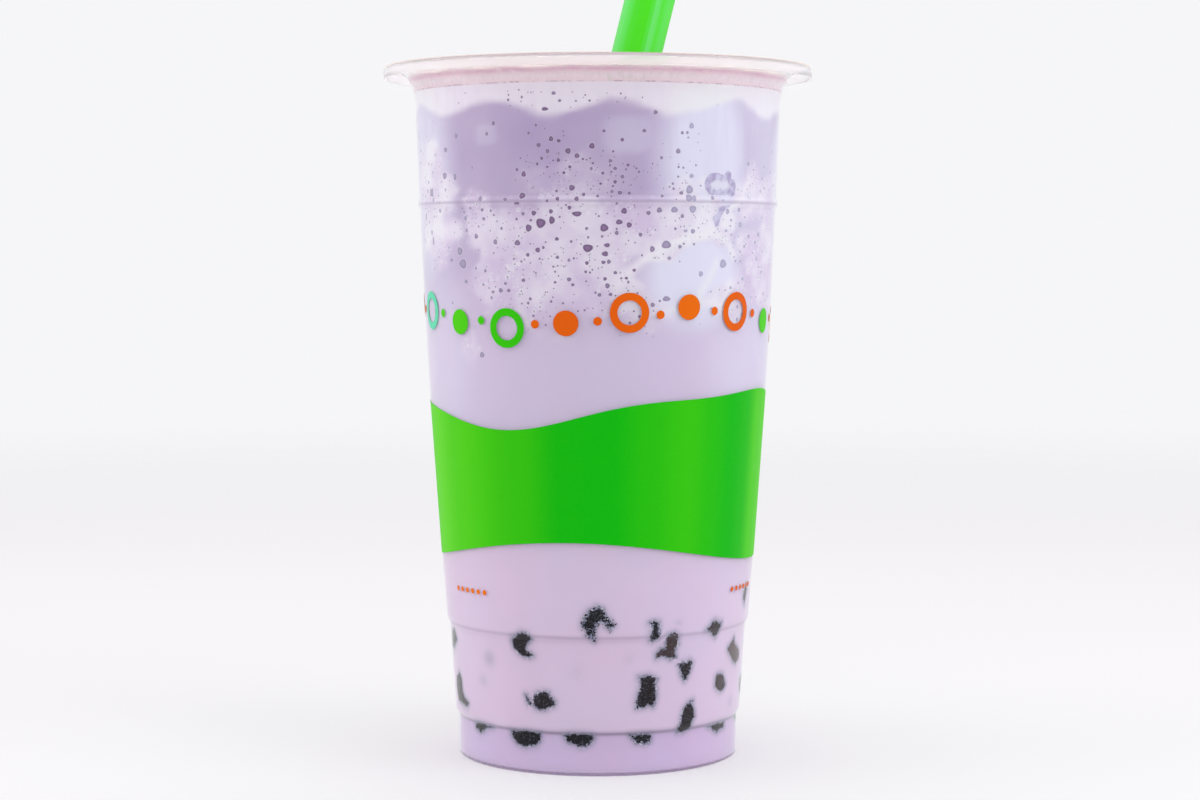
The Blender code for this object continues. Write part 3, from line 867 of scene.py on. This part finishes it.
# angle and height of the middle, brown share, ragged share, and the outline of the bare skin that touches the
# wall (across, up)
pearls = {
    "archTop": (-0.4, 33, 0, 1, [
        (-3, 0), (-2.6, 1.3), (-1.6, 2.9), (0.1, 3.9), (1.2, 3.4), (1.9, 1.9), (2.7, 1), (3.6, 0), (2.9, -1),
        (2.2, -0.4), (1.6, 0.5), (0.6, 0.7), (-0.1, 0), (-0.4, -1.2), (-0.4, -2.5), (-0.5, -3.6),
        (-1.3, -2.8), (-2.1, -2.2), (-1.9, -1.2), (-2.9, -0.6)]),
    "crescent": (-29, 27.8, 0.1, 0.15, [
        (-2.8, 1.2), (-1.8, 2.1), (-0.1, 2.9), (1.3, 2.6), (2, 1.9), (1.3, 0.8), (0.6, 0), (0.5, -1),
        (1.4, -1.5), (2.2, -2), (1.5, -2.4), (0.1, -2.3), (-1.2, -1.7), (-2.3, -0.7), (-2.7, 0.2)]),
    "leftSliver": (-76.5, 26.2, 0, 0.3, [
        (-1.6, 1.6), (1.1, 2.3), (1.9, 1.4), (2.9, 0.3), (1.7, -0.7), (-0.4, -2.2), (-2.8, -2.1),
        (-2.9, -0.6)]),
    "leftHook": (-70.2, 15, 0.2, 0.2, [
        (-3.1, 2.5), (-0.5, 4.1), (0.7, 3.1), (0.9, 1.5), (1.1, -0.1), (2.3, -1.2), (4.2, -2), (3.3, -2.8),
        (0.6, -2.6), (-2.5, -2.3), (-3.2, -0.8), (-3.7, 0.8)]),
    "roundLow": (-20.9, 16.1, 0.1, 0.3, [
        (-2.3, 0.9), (-1.4, 1.6), (0, 1.9), (1, 1.8), (1.2, 1), (1.8, 0.6), (2.4, -0.1), (2.1, -1),
        (1.1, -1.2), (0.1, -1.9), (-1.3, -1.9), (-2.2, -1.5), (-2.5, -0.2)]),
    "thinArc": (-27.5, 15.9, 0.1, 0.2, [
        (-0.8, 1.2), (-0.3, 1), (0.2, -0.1), (1, -1.1), (0.3, -1), (-0.4, 0)]),
    "ledgeA": (-54.9, 8.3, 0, 0.5, [
        (-2.8, 0.2), (-1.2, 0.9), (1.5, 0.9), (4.1, 0.6), (2.1, 0.1), (1.2, -0.5), (-0.5, -1.2), (-1.8, -0.9),
        (-2.6, -0.4)]),
    "ledgeB": (-30.4, 7.6, 0, 0.1, [
        (-3.5, 1.2), (-1.7, 1.3), (0.4, 1.5), (2.1, 1.4), (3.8, 1.3), (3.5, -0.4), (2.6, -1.4), (1.2, -1.6),
        (-0.1, -2), (-1.8, -1.5), (-3, -0.5), (-3.5, 0.4)]),
    "ledgeC": (-7.4, 7.9, 0, 0.2, [
        (-3.2, 0.9), (-1.6, 1.2), (0.9, 1.3), (2.8, 1.1), (3.2, 0.3), (2.5, -0.7), (1.4, -1.3), (0.4, -1.6),
        (-1, -0.9), (-2.3, -0.5), (-2.9, 0.1)]),
    "smallTop": (21.2, 31.4, 0, 0.4, [
        (-1.2, 1.7), (-0.3, 2), (0.8, 1.8), (1, 0.3), (1.4, -1.1), (0.7, -1.9), (-0.2, -2.2), (-0.7, -2),
        (-0.6, -0.5), (-0.4, 0.6), (-0.6, 1.4)]),
    "twin": (27.3, 27.5, 0.5, 0.4, [
        (-0.6, 1.8), (-0.2, 2.8), (1.2, 3.1), (2.3, 2.4), (2.4, 0.6), (1.7, -1.3), (2.1, -2.3), (0.6, -2.5),
        (-1.2, -1.7), (-2.7, -2.1), (-2.6, -1.1), (-1.8, -0.4), (-0.7, -0.1), (-0.4, 0.8)]),
    "rightTop": (49.3, 30.7, 0.3, 0.2, [
        (-2.8, -0.1), (-1.7, 0.5), (-1.1, 1.3), (-0.1, 1.5), (1.3, 0.9), (2.1, 0.9), (1.7, -0.2), (1.7, -1),
        (0.9, -2.1), (-0.5, -1.2), (-1.5, -0.5)]),
    "brownLeaf": (66.3, 24.3, 1, 0.1, [
        (-3.1, 1.3), (-1.6, 2), (-0.3, 3), (0.6, 1.4), (4, -0.7), (4, -2), (1.8, -3), (-0.1, -2.2),
        (-2, -0.5), (-3.4, 0.8)]),
    "wedge": (35.4, 22.4, 0.1, 0.3, [
        (-1.7, 1.1), (-0.9, 1.5), (0.3, 1.4), (1.3, 1.7), (1.8, 1.1), (1.4, -0.3), (0.8, -1.6), (0, -2.5),
        (-0.7, -1.7), (-1, -0.8), (-1.3, 0.2)]),
    "bean": (56, 18.1, 0.5, 0.1, [
        (-1.8, 0.7), (-1.7, 1.6), (-0.2, 2), (1.1, 1.4), (1.9, 0.1), (2.4, -0.9), (1.5, -1.7), (0.2, -1.9),
        (-1.4, -1), (-1.9, -0.3)]),
    "rightSliver": (83, 15.7, 0.8, 0.1, [
        (-2.7, 0), (-2.5, 1.6), (1.8, 2.2), (1.8, 0.9), (1.8, -0.8), (1.8, -2.3), (-2, -1.5)]),
    "tall": (18.9, 18.1, 0.1, 0.25, [
        (-1.7, 3.3), (-0.4, 3.4), (0.6, 3.5), (2.3, 2.6), (1.8, 1.5), (2.2, -0.1), (2.1, -2), (1.6, -3.3),
        (0.4, -2.7), (-0.3, -3.2), (-2.1, -3.4), (-2.1, -2.1), (-1.8, -0.5), (-1.2, 1), (-1.3, 2.3)]),
    "leaf": (37.4, 11.7, 0.1, 0.1, [
        (0.1, 3.1), (1.3, 3.6), (1.1, 2.7), (1.9, 1.2), (2, 0), (1.3, -1.4), (1.2, -2.4), (-0.3, -3),
        (-2, -3.1), (-2.4, -2.5), (-1.7, -1), (-1.4, 0.6), (-0.9, 2.1)]),
    "ledgeD": (17.4, 7.8, 0, 0.4, [
        (-2.5, 1), (-1.1, 1.1), (1.3, 1), (2.2, 0.9), (2.1, -0.7), (1.1, -1.1), (0, -0.9), (-1, -0.8),
        (-1.8, 0.2)]),
    "ledgeE": (57.4, 8, 0.2, 0.3, [
        (-3.7, 0.7), (-0.8, 0.9), (3.3, 0.9), (3.5, -0.4), (1.6, -0.6), (-0.1, -1.1), (-1.6, -0.4),
        (-2.2, 0.3)]),
    "highRight": (72.1, 36.5, 0.3, 0.2, [
        (0.3, 2.1), (1.3, 0.8), (0.5, -1.1), (0.4, -2.4), (-1, -1), (-1.1, 0.3), (-0.5, 1.3)]),
}
pearlCell = 0.3  # grid of a pearl's bare skin


def depthInside(x, y, outline):
    # millimetres inside the outline, negative outside
    nearest, inside = 1e9, False
    for (ax, ay), (bx, by) in zip(outline, outline[1:] + outline[:1]):
        if (ay > y) != (by > y) and x < (bx - ax) * (y - ay) / (by - ay) + ax:
            inside = not inside
        length = (bx - ax) ** 2 + (by - ay) ** 2 or 1e-9
        share = min(1.0, max(0.0, ((x - ax) * (bx - ax) + (y - ay) * (by - ay)) / length))
        nearest = min(nearest, math.hypot(x - ax - share * (bx - ax), y - ay - share * (by - ay)))
    return nearest if inside else -nearest


def pearlSkin():
    # boiled tapioca: black-brown and glossy, mottled where milk creeps between skin and plastic
    material, add = newMaterial("boiledTapioca")
    place = add("TexCoord", {}, "Object")
    crease, inside, brown, ragged = [add("Attribute", {"attribute_name": name}, "Fac")
                                     for name in ("crease", "inside", "brown", "ragged")]
    # crumbs of milk, 0.6 mm, eat into the skin's edge
    bits = add("TexNoise", {"Scale": perMetre(0.6), "Detail": 4.0, "Roughness": 0.75, "Vector": place})
    centred = add("Math", {"operation": "SUBTRACT", 0: bits, 1: 0.52})
    sway = add("Math", {"operation": "MULTIPLY_ADD", 0: ragged, 1: 4.5, 2: 1.6})
    shaken = add("Math", {"operation": "MULTIPLY_ADD", 0: centred, 1: sway, 2: inside})
    bare = add("MapRange", {**soft, "From Min": -0.1, "From Max": 0.12, "Value": shaken})
    reach = add("MapRange", {"From Min": -2.05, "From Max": 0.1, "Value": inside})
    halo = add("Math", {"operation": "POWER", 0: reach, 1: 2.6})
    flecks = add("TexNoise", {"Scale": perMetre(0.42), "Detail": 2.0, "Roughness": 0.7, "Vector": place})
    near = add("MapRange", {**soft, "From Min": -0.95, "From Max": -0.15, "Value": inside})
    # the first layer is the drink's painted ledge shade
    layers = [(crease, drink["crease"]), (halo, "#8F93AB")]
    for start, end, tint in ((0.57, 0.66, "#F3F5F9"), (0.42, 0.35, "#5C5A6B")):
        there = add("MapRange", {"From Min": start, "From Max": end, "To Max": 0.8, "Value": flecks})
        layers.append((add("Math", {"operation": "MULTIPLY", 0: there, 1: near}), tint))
    black = add("Mix", {**rgba, 0: brown, 6: "#121219", 7: "#66504F"}, 2)
    crumbs = add("MapRange", {"From Min": 0.52, "From Max": 0.7, "To Max": 0.6, "Value": flecks})
    skinned = add("Mix", {**rgba, 0: crumbs, 6: black, 7: "#6C6A7A"}, 2)
    colour = milkColour(add, place)
    for share, tint in layers + [(bare, skinned)]:
        colour = add("Mix", {**rgba, 0: share, 6: colour, 7: tint}, 2)
    skin = add("BsdfPrincipled", {"Roughness": 0.45, "Specular IOR Level": 0.1, "Base Color": colour})
    add("OutputMaterial", {0: skin})
    return material


def wallPatch(name, angle, z, outline, margin, lift, turned=1, reach=1.0):
    # a fine grid laid on the wall's inside, cut to the outline and a margin round it
    outline = [(x * turned, y) for x, y in outline]
    low = [min(p[i] for p in outline) - margin - 0.15 for i in (0, 1)]
    high = [max(p[i] for p in outline) + margin + 0.15 for i in (0, 1)]
    width, height = high[0] - low[0], high[1] - low[1]
    clearSelection()
    bpy.ops.mesh.primitive_grid_add(x_subdivisions=math.ceil(width / pearlCell),
                                    y_subdivisions=math.ceil(height / pearlCell), size=1)
    piece = nameActive(name)
    inside = []
    for vertex in piece.data.vertices:
        x = low[0] + (vertex.co.x + 0.5) * width
        y = low[1] + (vertex.co.y + 0.5) * height
        depth = depthInside(x, y, outline) + 0.16 * noise.noise(Vector((x, y, angle)) * 1.7)
        inside.append(max(-margin, min(reach, depth)))
        edge = -0.06 + 0.09 * smoothStep(-margin, 0.3 - margin, depth)
        r = drinkRadius(z + y) + edge + lift * smoothStep(-0.2, 0.9, depth)
        vertex.co = onWall(angle + math.degrees(x / drinkRadius(z)), z + y, r)
    setAttribute(piece, "inside", inside)
    bpy.ops.object.mode_set(mode="EDIT")
    bpy.ops.mesh.select_all(action="DESELECT")
    bpy.ops.object.mode_set(mode="OBJECT")
    for vertex, depth in zip(piece.data.vertices, inside):
        vertex.select = depth <= 0.001 - margin
    bpy.ops.object.mode_set(mode="EDIT")
    bpy.ops.mesh.select_mode(type="VERT")
    bpy.ops.mesh.delete(type="VERT")
    bpy.ops.object.mode_set(mode="OBJECT")
    return piece


def makePearl(name, angle, z, brown, ragged, outline, turned=1):
    # the bare skin that shows against the wall, and the milk's shadow round it
    piece = wallPatch(name, angle, z, outline, 2.1, 0.1, turned)
    points = piece.data.vertices
    setAttribute(piece, "brown", [brown] * len(points))
    setAttribute(piece, "ragged", [ragged] * len(points))
    # the same painted ledge shade as the drink
    setAttribute(piece, "crease", [creaseShadeAt(vertex.co.z / mm) for vertex in points])
    return piece


def makePearls():
    chance = random.Random(19)
    pieces = [makePearl(name, *shape) for name, shape in pearls.items()]
    shapes = list(pearls.values())
    ledgeShapes = [pearls["ledge" + letter] for letter in "ABCDE"]
    for i in range(9):  # under the lower ledge, round the back
        angle, (z, *looks) = 80 + i * 22 + chance.uniform(-8, 8), ledgeShapes[i % 5][1:]
        pieces.append(makePearl("backLedge", angle, z, *looks, chance.choice((-1, 1))))
    for i in range(17):  # and above it
        brown, ragged, outline = shapes[(i * 5 + 3) % len(shapes)][2:]
        height = chance.uniform(13, 37)
        angle = 92 + i * 11.3 + chance.uniform(-3, 3)
        pieces.append(makePearl("back", angle, height, brown * 0.5, ragged, outline, chance.choice((-1, 1))))
    settlePiece(joinPieces("tapiocaPearls", pieces), pearlSkin())


makePearls()
print("pearls: bare skins show against the wall")

# angle and height, then outline of each large flat pocket of air, in the same way
airPockets = {
    "wide": (41.9, 126.1, [
        (-3.8, 2), (-1.6, 2.3), (0.5, 1.8), (1.6, 2.9), (2.4, 2.4), (2.7, 1.2), (3.7, 0.8), (4.1, -0.8),
        (3.9, -2.2), (2.9, -2.7), (1.6, -1.9), (0.7, -2.3), (-1.5, -2.3), (-3.5, -2.1), (-4.6, -1.1),
        (-4.8, 0.3), (-4.3, 1.4)]),
    "tail": (41.3, 119.6, [
        (3.2, 2.5), (1.4, 2), (-0.3, 1.7), (-0.7, 0.3), (-2.1, -0.6), (-1.4, -1.6), (-1.1, -2.5),
        (-0.4, -2.4), (0, -0.7), (1.4, 1.2)]),
}


def pocketSkin():
    # a flat air pocket between milk foam and plastic: a purple-grey edge that fades to a pale bluish middle
    material, add = newMaterial("airPocketInMilkFoam")
    place = add("TexCoord", {}, "Object")
    inside = add("Attribute", {"attribute_name": "inside"}, "Fac")
    wisps = add("TexNoise", {"Scale": perMetre(1.6), "Detail": 3.0, "Roughness": 0.65,
                             "Vector": place})
    shaken = add("Math", {"operation": "MULTIPLY_ADD", 1: 2.2, 0: wisps, 2: inside})
    depth = add("MapRange", {**soft, "From Min": 2.0, "From Max": 2.9,
                             "Value": shaken})
    tone = add("MapRange", {"From Min": 0.4, "From Max": 0.58, "Value": wisps})
    edge = add("Mix", {**rgba, 6: "#BEB2D4", 7: "#DFDBF0", 0: tone}, 2)
    body = add("Mix", {**rgba, 7: "#F1EFFA", 0: depth, 6: edge}, 2)
    outer = add("MapRange", {**soft, "From Min": 0.0, "From Max": -0.22,
                             "Value": inside})
    colour = add("Mix", {**rgba, 7: "#F3F0FA", 0: outer, 6: body}, 2)
    skin = add("BsdfPrincipled", {"Roughness": 0.35, "Specular IOR Level": 0.15,
                                  "Base Color": colour})
    add("OutputMaterial", {0: skin})
    return material


def makeAirPockets():
    wide, tail = airPockets["wide"], airPockets["tail"]
    places = [(*wide, 1), (*tail, 1), (-118, 127, wide[2], -1), (152, 121, tail[2], 1)]  # two more at the back
    pieces = [wallPatch("pocket", *place[:3], 0.45, 0.03, place[3], 2.4) for place in places]
    settlePiece(joinPieces("airPockets", pieces), pocketSkin())


makeAirPockets()
print("froth: flat air pockets are in place")

printing = {
    "topEdge": 78.5, "topWave": 3.6, "bottomEdge": 47.5, "bottomWave": 3, "sides": 288, "rows": 26,
    "proud": 0.03, "thick": 0.05,
    # each ink's second, lighter shade is painted side light
    "green": "#00B400", "greenSideLit": "#62DC00", "orange": "#EF8100", "orangeDeep": "#DB5A00",
    "teal": "#19C08C", "tealSideLit": "#6FDDB4",
    # painted side light round the cup: strongest at the sides
    "blend": [(-180, 0.1), (-150, 0.15), (-110, 0.85), (-73, 0.92), (-56, 0.6), (-27, 0.25), (-12, 0.02),
              (4, 0), (17, 0.12), (32, 0.26), (42, 0.12), (52, 0),  # angle, share of the second shade
              (60, 0.06), (70, 0.55), (86, 0.8), (120, 0.6), (150, 0.15), (180, 0.1)],
}


def printInk(name, first, second):
    # screen-printed ink, cured to a satin skin, with a lighter second shade round the cup as painted side light
    material, add = newMaterial(name)
    place = add("TexCoord", {}, "Object")
    blend = add("Attribute", {"attribute_name": "blend"}, "Fac")
    # 0.4 mm ink grain
    screen = add("TexNoise", {"Scale": perMetre(0.4), "Detail": 1.0, "Vector": place})
    share = add("Math", {"operation": "MULTIPLY_ADD", 1: 0.14, "use_clamp": True, 0: screen,
                         2: blend})
    colour = add("Mix", {**rgba, 6: first, 7: second, 0: share}, 2)
    grain = add("Bump", {"Strength": 0.1, "Distance": 5e-05, "Height": screen})
    ink = add("BsdfPrincipled", {"Roughness": 0.5, "IOR": 1.48, "Specular IOR Level": 0.12,
                                 "Base Color": colour, "Normal": grain})
    add("OutputMaterial", {0: ink})
    return material


def paintSideLight(piece):
    # painted side light: pure green at the front and back, lighter and yellower between
    shares = []
    for vertex in piece.data.vertices:
        angle = angleOf(vertex.co)
        for (before, low), (after, high) in zip(printing["blend"], printing["blend"][1:]):
            if before <= angle <= after:
                shares.append(low + (high - low) * smoothStep(before, after, angle) - 0.07)
                break
    setAttribute(piece, "blend", shares)


def makeBand():
    clearSelection()
    bpy.ops.mesh.primitive_cylinder_add(vertices=printing["sides"], radius=36 * mm, depth=30 * mm,
                                        end_fill_type="NOTHING", location=(0, 0, 0))
    piece = nameActive("printedBand")
    bpy.ops.object.mode_set(mode="EDIT")
    bpy.ops.mesh.select_all(action="SELECT")
    bpy.ops.mesh.subdivide_edgering(number_cuts=printing["rows"], interpolation="LINEAR", smoothness=0)
    bpy.ops.object.mode_set(mode="OBJECT")
    for vertex in piece.data.vertices:
        angle = angleOf(vertex.co)
        a = math.radians(angle)
        top = printing["topEdge"] + printing["topWave"] * math.sin(2 * a - 0.3) + 0.8 * math.sin(5 * a + 1)
        low = printing["bottomEdge"] + printing["bottomWave"] * math.sin(2 * a + 1.9)
        z = low + (top - low) * (vertex.co.z / (30 * mm) + 0.5)
        vertex.co = onWall(angle, z, outerRadius(z) + printing["proud"])
    addModifier(piece, "inkThickness", "SOLIDIFY", thickness=printing["thick"] * mm, offset=1)
    bakeModifiers(piece)
    paintSideLight(piece)
    settlePiece(piece, printInk("greenScreenInk", printing["green"], printing["greenSideLit"]))


def printDot(name, angle, z, size, hollow=0.0):
    clearSelection()
    bpy.ops.mesh.primitive_circle_add(vertices=28, radius=size / 2, fill_type="NGON")
    piece = nameActive(name)
    bpy.ops.object.mode_set(mode="EDIT")
    bpy.ops.mesh.select_all(action="SELECT")
    bpy.ops.mesh.inset(thickness=size / 2 * (1 - hollow) if hollow else size * 0.2)
    if hollow:
        bpy.ops.mesh.delete(type="FACE")
    else:
        bpy.ops.mesh.poke()
    bpy.ops.mesh.select_all(action="SELECT")
    bpy.ops.mesh.subdivide(number_cuts=1)
    bpy.ops.object.mode_set(mode="OBJECT")
    for vertex in piece.data.vertices:
        x, y = vertex.co.x, vertex.co.y
        r = outerRadius(z + y) + printing["proud"] + printing["thick"]
        vertex.co = onWall(angle + math.degrees(x / outerRadius(z)), z + y, r)
    return piece


def makeDots():
    dots = {"green": [], "orange": [], "teal": []}
    for i in range(18):  # green and orange by turns of a few, rings and discs by turns of one
        angle = -170 + i * 20
        lift = 2.2 * math.sin(math.radians(angle) * 3)
        colour = "teal" if i in (5, 14) else "green" if i % 9 in (3, 6, 7) else "orange"
        dots[colour].append(printDot("dot", angle, 98 + lift, 8.4 if i % 2 else 5.4, 0.62 if i % 2 else 0.0))
        between = printDot("speck", angle + 10, 98 + lift * 0.6, 1.8)
        dots["green" if i % 9 in (5, 6) else "orange"].append(between)
    for start in (-62, 58, 178):
        dots["orange"] += [printDot("speck", start + i * 3.4, 38.6, 1.15) for i in range(6)]
    # the second colour of each pair is the ink's painted side-lit shade
    for colour, first, second in (("green", "green", "greenSideLit"), ("orange", "orangeDeep", "orange"),
                                  ("teal", "teal", "tealSideLit")):
        piece = joinPieces(colour + "Dots", dots[colour])
        paintSideLight(piece)
        settlePiece(piece, printInk(colour + "DotInk", printing[first], printing[second]))


makeBand()
makeDots()
print("printing: a wavy green band and rows of dots")

straw = {
    "r": 5.5, "wall": 0.5, "length": 210, "lean": 13.8, "crossX": 7.9, "crossZ": 152.8, "pointZ": 10,
    # second is the pale bluish green of the painted highlights
    "pointLength": 14, "sides": 72, "first": "#60FA22", "second": "#8EFF9A",
    # angle from the front, half width, strength
    "paintedHighlights": [(-62, 26, 0.75), (22, 9, 0.8), (52, 16, 0.45), (120, 14, 0.5), (-140, 20, 0.6), (175, 10, 0.5)],
}
film = {
    "r": 47.1, "bottom": 152.56, "thick": 0.3, "sides": 220, "printR": 41.6, "freeR": (41, 38),
    "dip": -0.35, "ripple": 0.1, "seal": (41.5, 45.5), "sealRidge": 0.8,
    "peach": "#FDE2D7", "clear": "#FEFDFD", "through": "#FFF9F6",
}


def peachFilm():
    # heat-sealed PE film: softly crinkled, tinted pale peach over the drink, clear where it is sealed
    material, add = newMaterial("peachSealingFilm")
    place = add("TexCoord", {}, "Object")
    clouds = add("TexNoise", {"Scale": perMetre(9), "Detail": 3.0, "Vector": place})
    tinted = add("Attribute", {"attribute_name": "tinted"}, "Fac")
    uneven = add("MapRange", {"From Min": 0.3, "From Max": 0.7, "To Min": 0.75, "Value": clouds})
    share = add("Math", {"operation": "MULTIPLY", 0: tinted, 1: uneven})
    colour = add("Mix", {**rgba, 6: film["clear"], 7: film["peach"], 0: share}, 2)
    crinkle = add("TexNoise", {"Scale": perMetre(3), "Detail": 2.0, "Vector": place})
    bump = add("Bump", {"Strength": 0.2, "Distance": 0.0003, "Height": crinkle})
    sheet = add("BsdfPrincipled", {"Roughness": 0.28, "Specular IOR Level": 0.4,
                                   "Base Color": colour, "Normal": bump})
    through = add("BsdfTranslucent", {"Color": film["through"]})
    lit = add("MixShader", {0: 0.62, 1: sheet, 2: through})
    clear = add("BsdfTransparent", {"Color": film["through"]})
    seeThrough = add("MapRange", {"To Min": 0.93, "To Max": 0.37, "Value": tinted})
    mixed = add("MixShader", {0: seeThrough, 1: lit, 2: clear})
    add("OutputMaterial", {0: mixed})
    return material


def makeFilm():
    line = [Vector((i * film["r"] / 34, film["bottom"])) for i in range(35)]
    piece = spinLine("peachFilm", line, film["sides"])
    hole = Vector((straw["crossX"], 0))
    sealStart, sealEnd = film["seal"]
    for vertex in piece.data.vertices:
        r = radiusOf(vertex.co)
        fromHole = (Vector((vertex.co.x, vertex.co.y)) / mm - hole)
        spoke = math.atan2(fromHole.y, fromHole.x)
        near = math.exp(-max(0.0, fromHole.length - straw["r"]) / 7)
        ripple = film["ripple"] * math.sin(spoke * 9 + 1.1 * math.sin(spoke * 2))
        free = smoothStep(*film["freeR"], r)
        dip = ((film["dip"] + ripple) * near + 0.05 * noise.noise(vertex.co * 180)) * free
        ridge = 0.05 * math.sin((r - sealStart) * math.pi / film["sealRidge"]) if sealStart < r < sealEnd else 0
        vertex.co.z += (dip + max(0.0, ridge)) * mm
    addModifier(piece, "filmThickness", "SOLIDIFY", thickness=film["thick"] * mm, offset=1)
    bakeModifiers(piece)
    outer, inner = film["printR"] + 0.8, film["printR"] - 0.8
    setAttribute(piece, "tinted", [smoothStep(outer, inner, radiusOf(v.co)) for v in piece.data.vertices])
    settlePiece(piece, peachFilm())
    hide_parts("sealing_film")


def strawPlastic():
    # polypropylene straw, extruded: bright green, slightly see-through, with fine lines along it
    material, add = newMaterial("greenStrawPolypropylene")
    turned = add("Attribute", {"attribute_name": "turn"}, "Fac")
    # painted highlights: long pale stripes along the straw
    paler = add("Attribute", {"attribute_name": "paler"}, "Fac")
    lines = add("TexNoise", {"noise_dimensions": "1D", "Scale": 34.0, "Detail": 3.0, "W": turned})
    tone = add("Math", {"operation": "MULTIPLY_ADD", 1: 0.5, "use_clamp": True, 0: lines, 2: paler})
    colour = add("Mix", {**rgba, 6: straw["first"], 7: straw["second"], 0: tone}, 2)
    ridges = add("Bump", {"Strength": 0.15, "Distance": 0.0001, "Height": lines})
    plastic = add("BsdfPrincipled", {"Roughness": 0.3, "IOR": 1.49, "Specular IOR Level": 0.5,
                                     "Base Color": colour, "Normal": ridges})
    through = add("BsdfTranslucent", {"Color": colour})
    mixed = add("MixShader", {0: 0.4, 1: plastic, 2: through})
    add("OutputMaterial", {0: mixed})
    return material


def paintedHighlightAt(angle):
    # the strongest of the long painted highlights along the straw
    return max(strength * math.exp(-(turnFrom(middle, angle) / halfWidth) ** 2)
               for middle, halfWidth, strength in straw["paintedHighlights"])


def makeStraw():
    lean = math.radians(straw["lean"])
    bottom = -((straw["crossZ"] - straw["pointZ"]) - straw["r"] * math.sin(lean)) / math.cos(lean)
    top = bottom + straw["length"]
    clearSelection()
    bpy.ops.mesh.primitive_cylinder_add(vertices=straw["sides"], radius=straw["r"] * mm,
                                        depth=straw["length"] * mm, end_fill_type="NOTHING",
                                        location=(0, 0, (bottom + top) / 2 * mm))
    piece = nameActive("greenStraw")
    bpy.ops.object.transform_apply(location=True)
    bpy.ops.object.mode_set(mode="EDIT")
    bpy.ops.mesh.select_all(action="SELECT")
    bpy.ops.mesh.subdivide_edgering(number_cuts=40, interpolation="LINEAR", smoothness=0)
    bpy.ops.object.mode_set(mode="OBJECT")
    turns = []
    for vertex in piece.data.vertices:  # the lines at the back aren't those at the front
        turn = math.atan2(vertex.co.y, vertex.co.x)
        turns.append(abs(math.degrees(turn)) / 180 + (0.37 * math.sin(turn) if vertex.co.y > 0 else 0))
    setAttribute(piece, "turn", turns)
    # painted highlights, set by angle round the straw
    setAttribute(piece, "paler", [paintedHighlightAt(angleOf(v.co)) - 0.25 for v in piece.data.vertices])
    slope = straw["pointLength"] / (2 * straw["r"])
    bpy.ops.object.mode_set(mode="EDIT")
    bpy.ops.mesh.select_all(action="SELECT")
    bpy.ops.mesh.bisect(plane_co=(straw["r"] * mm, 0, bottom * mm), plane_no=Vector((slope, 0, 1)).normalized(),
                        clear_inner=True)
    bpy.ops.object.mode_set(mode="OBJECT")
    addModifier(piece, "strawWall", "SOLIDIFY", thickness=straw["wall"] * mm, offset=-1, use_even_offset=True)
    addModifier(piece, "cutEdge", "BEVEL", width=0.12 * mm, segments=2, limit_method="ANGLE",
                angle_limit=math.radians(50))
    bakeModifiers(piece)
    crossing = Matrix.Translation((straw["crossX"] * mm, 0, straw["crossZ"] * mm))
    piece.matrix_world = crossing @ Matrix.Rotation(lean, 4, "Y")
    settlePiece(piece, strawPlastic())
    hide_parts("straw")


makeFilm()
makeStraw()
print("film and straw: sealed and pushed in")
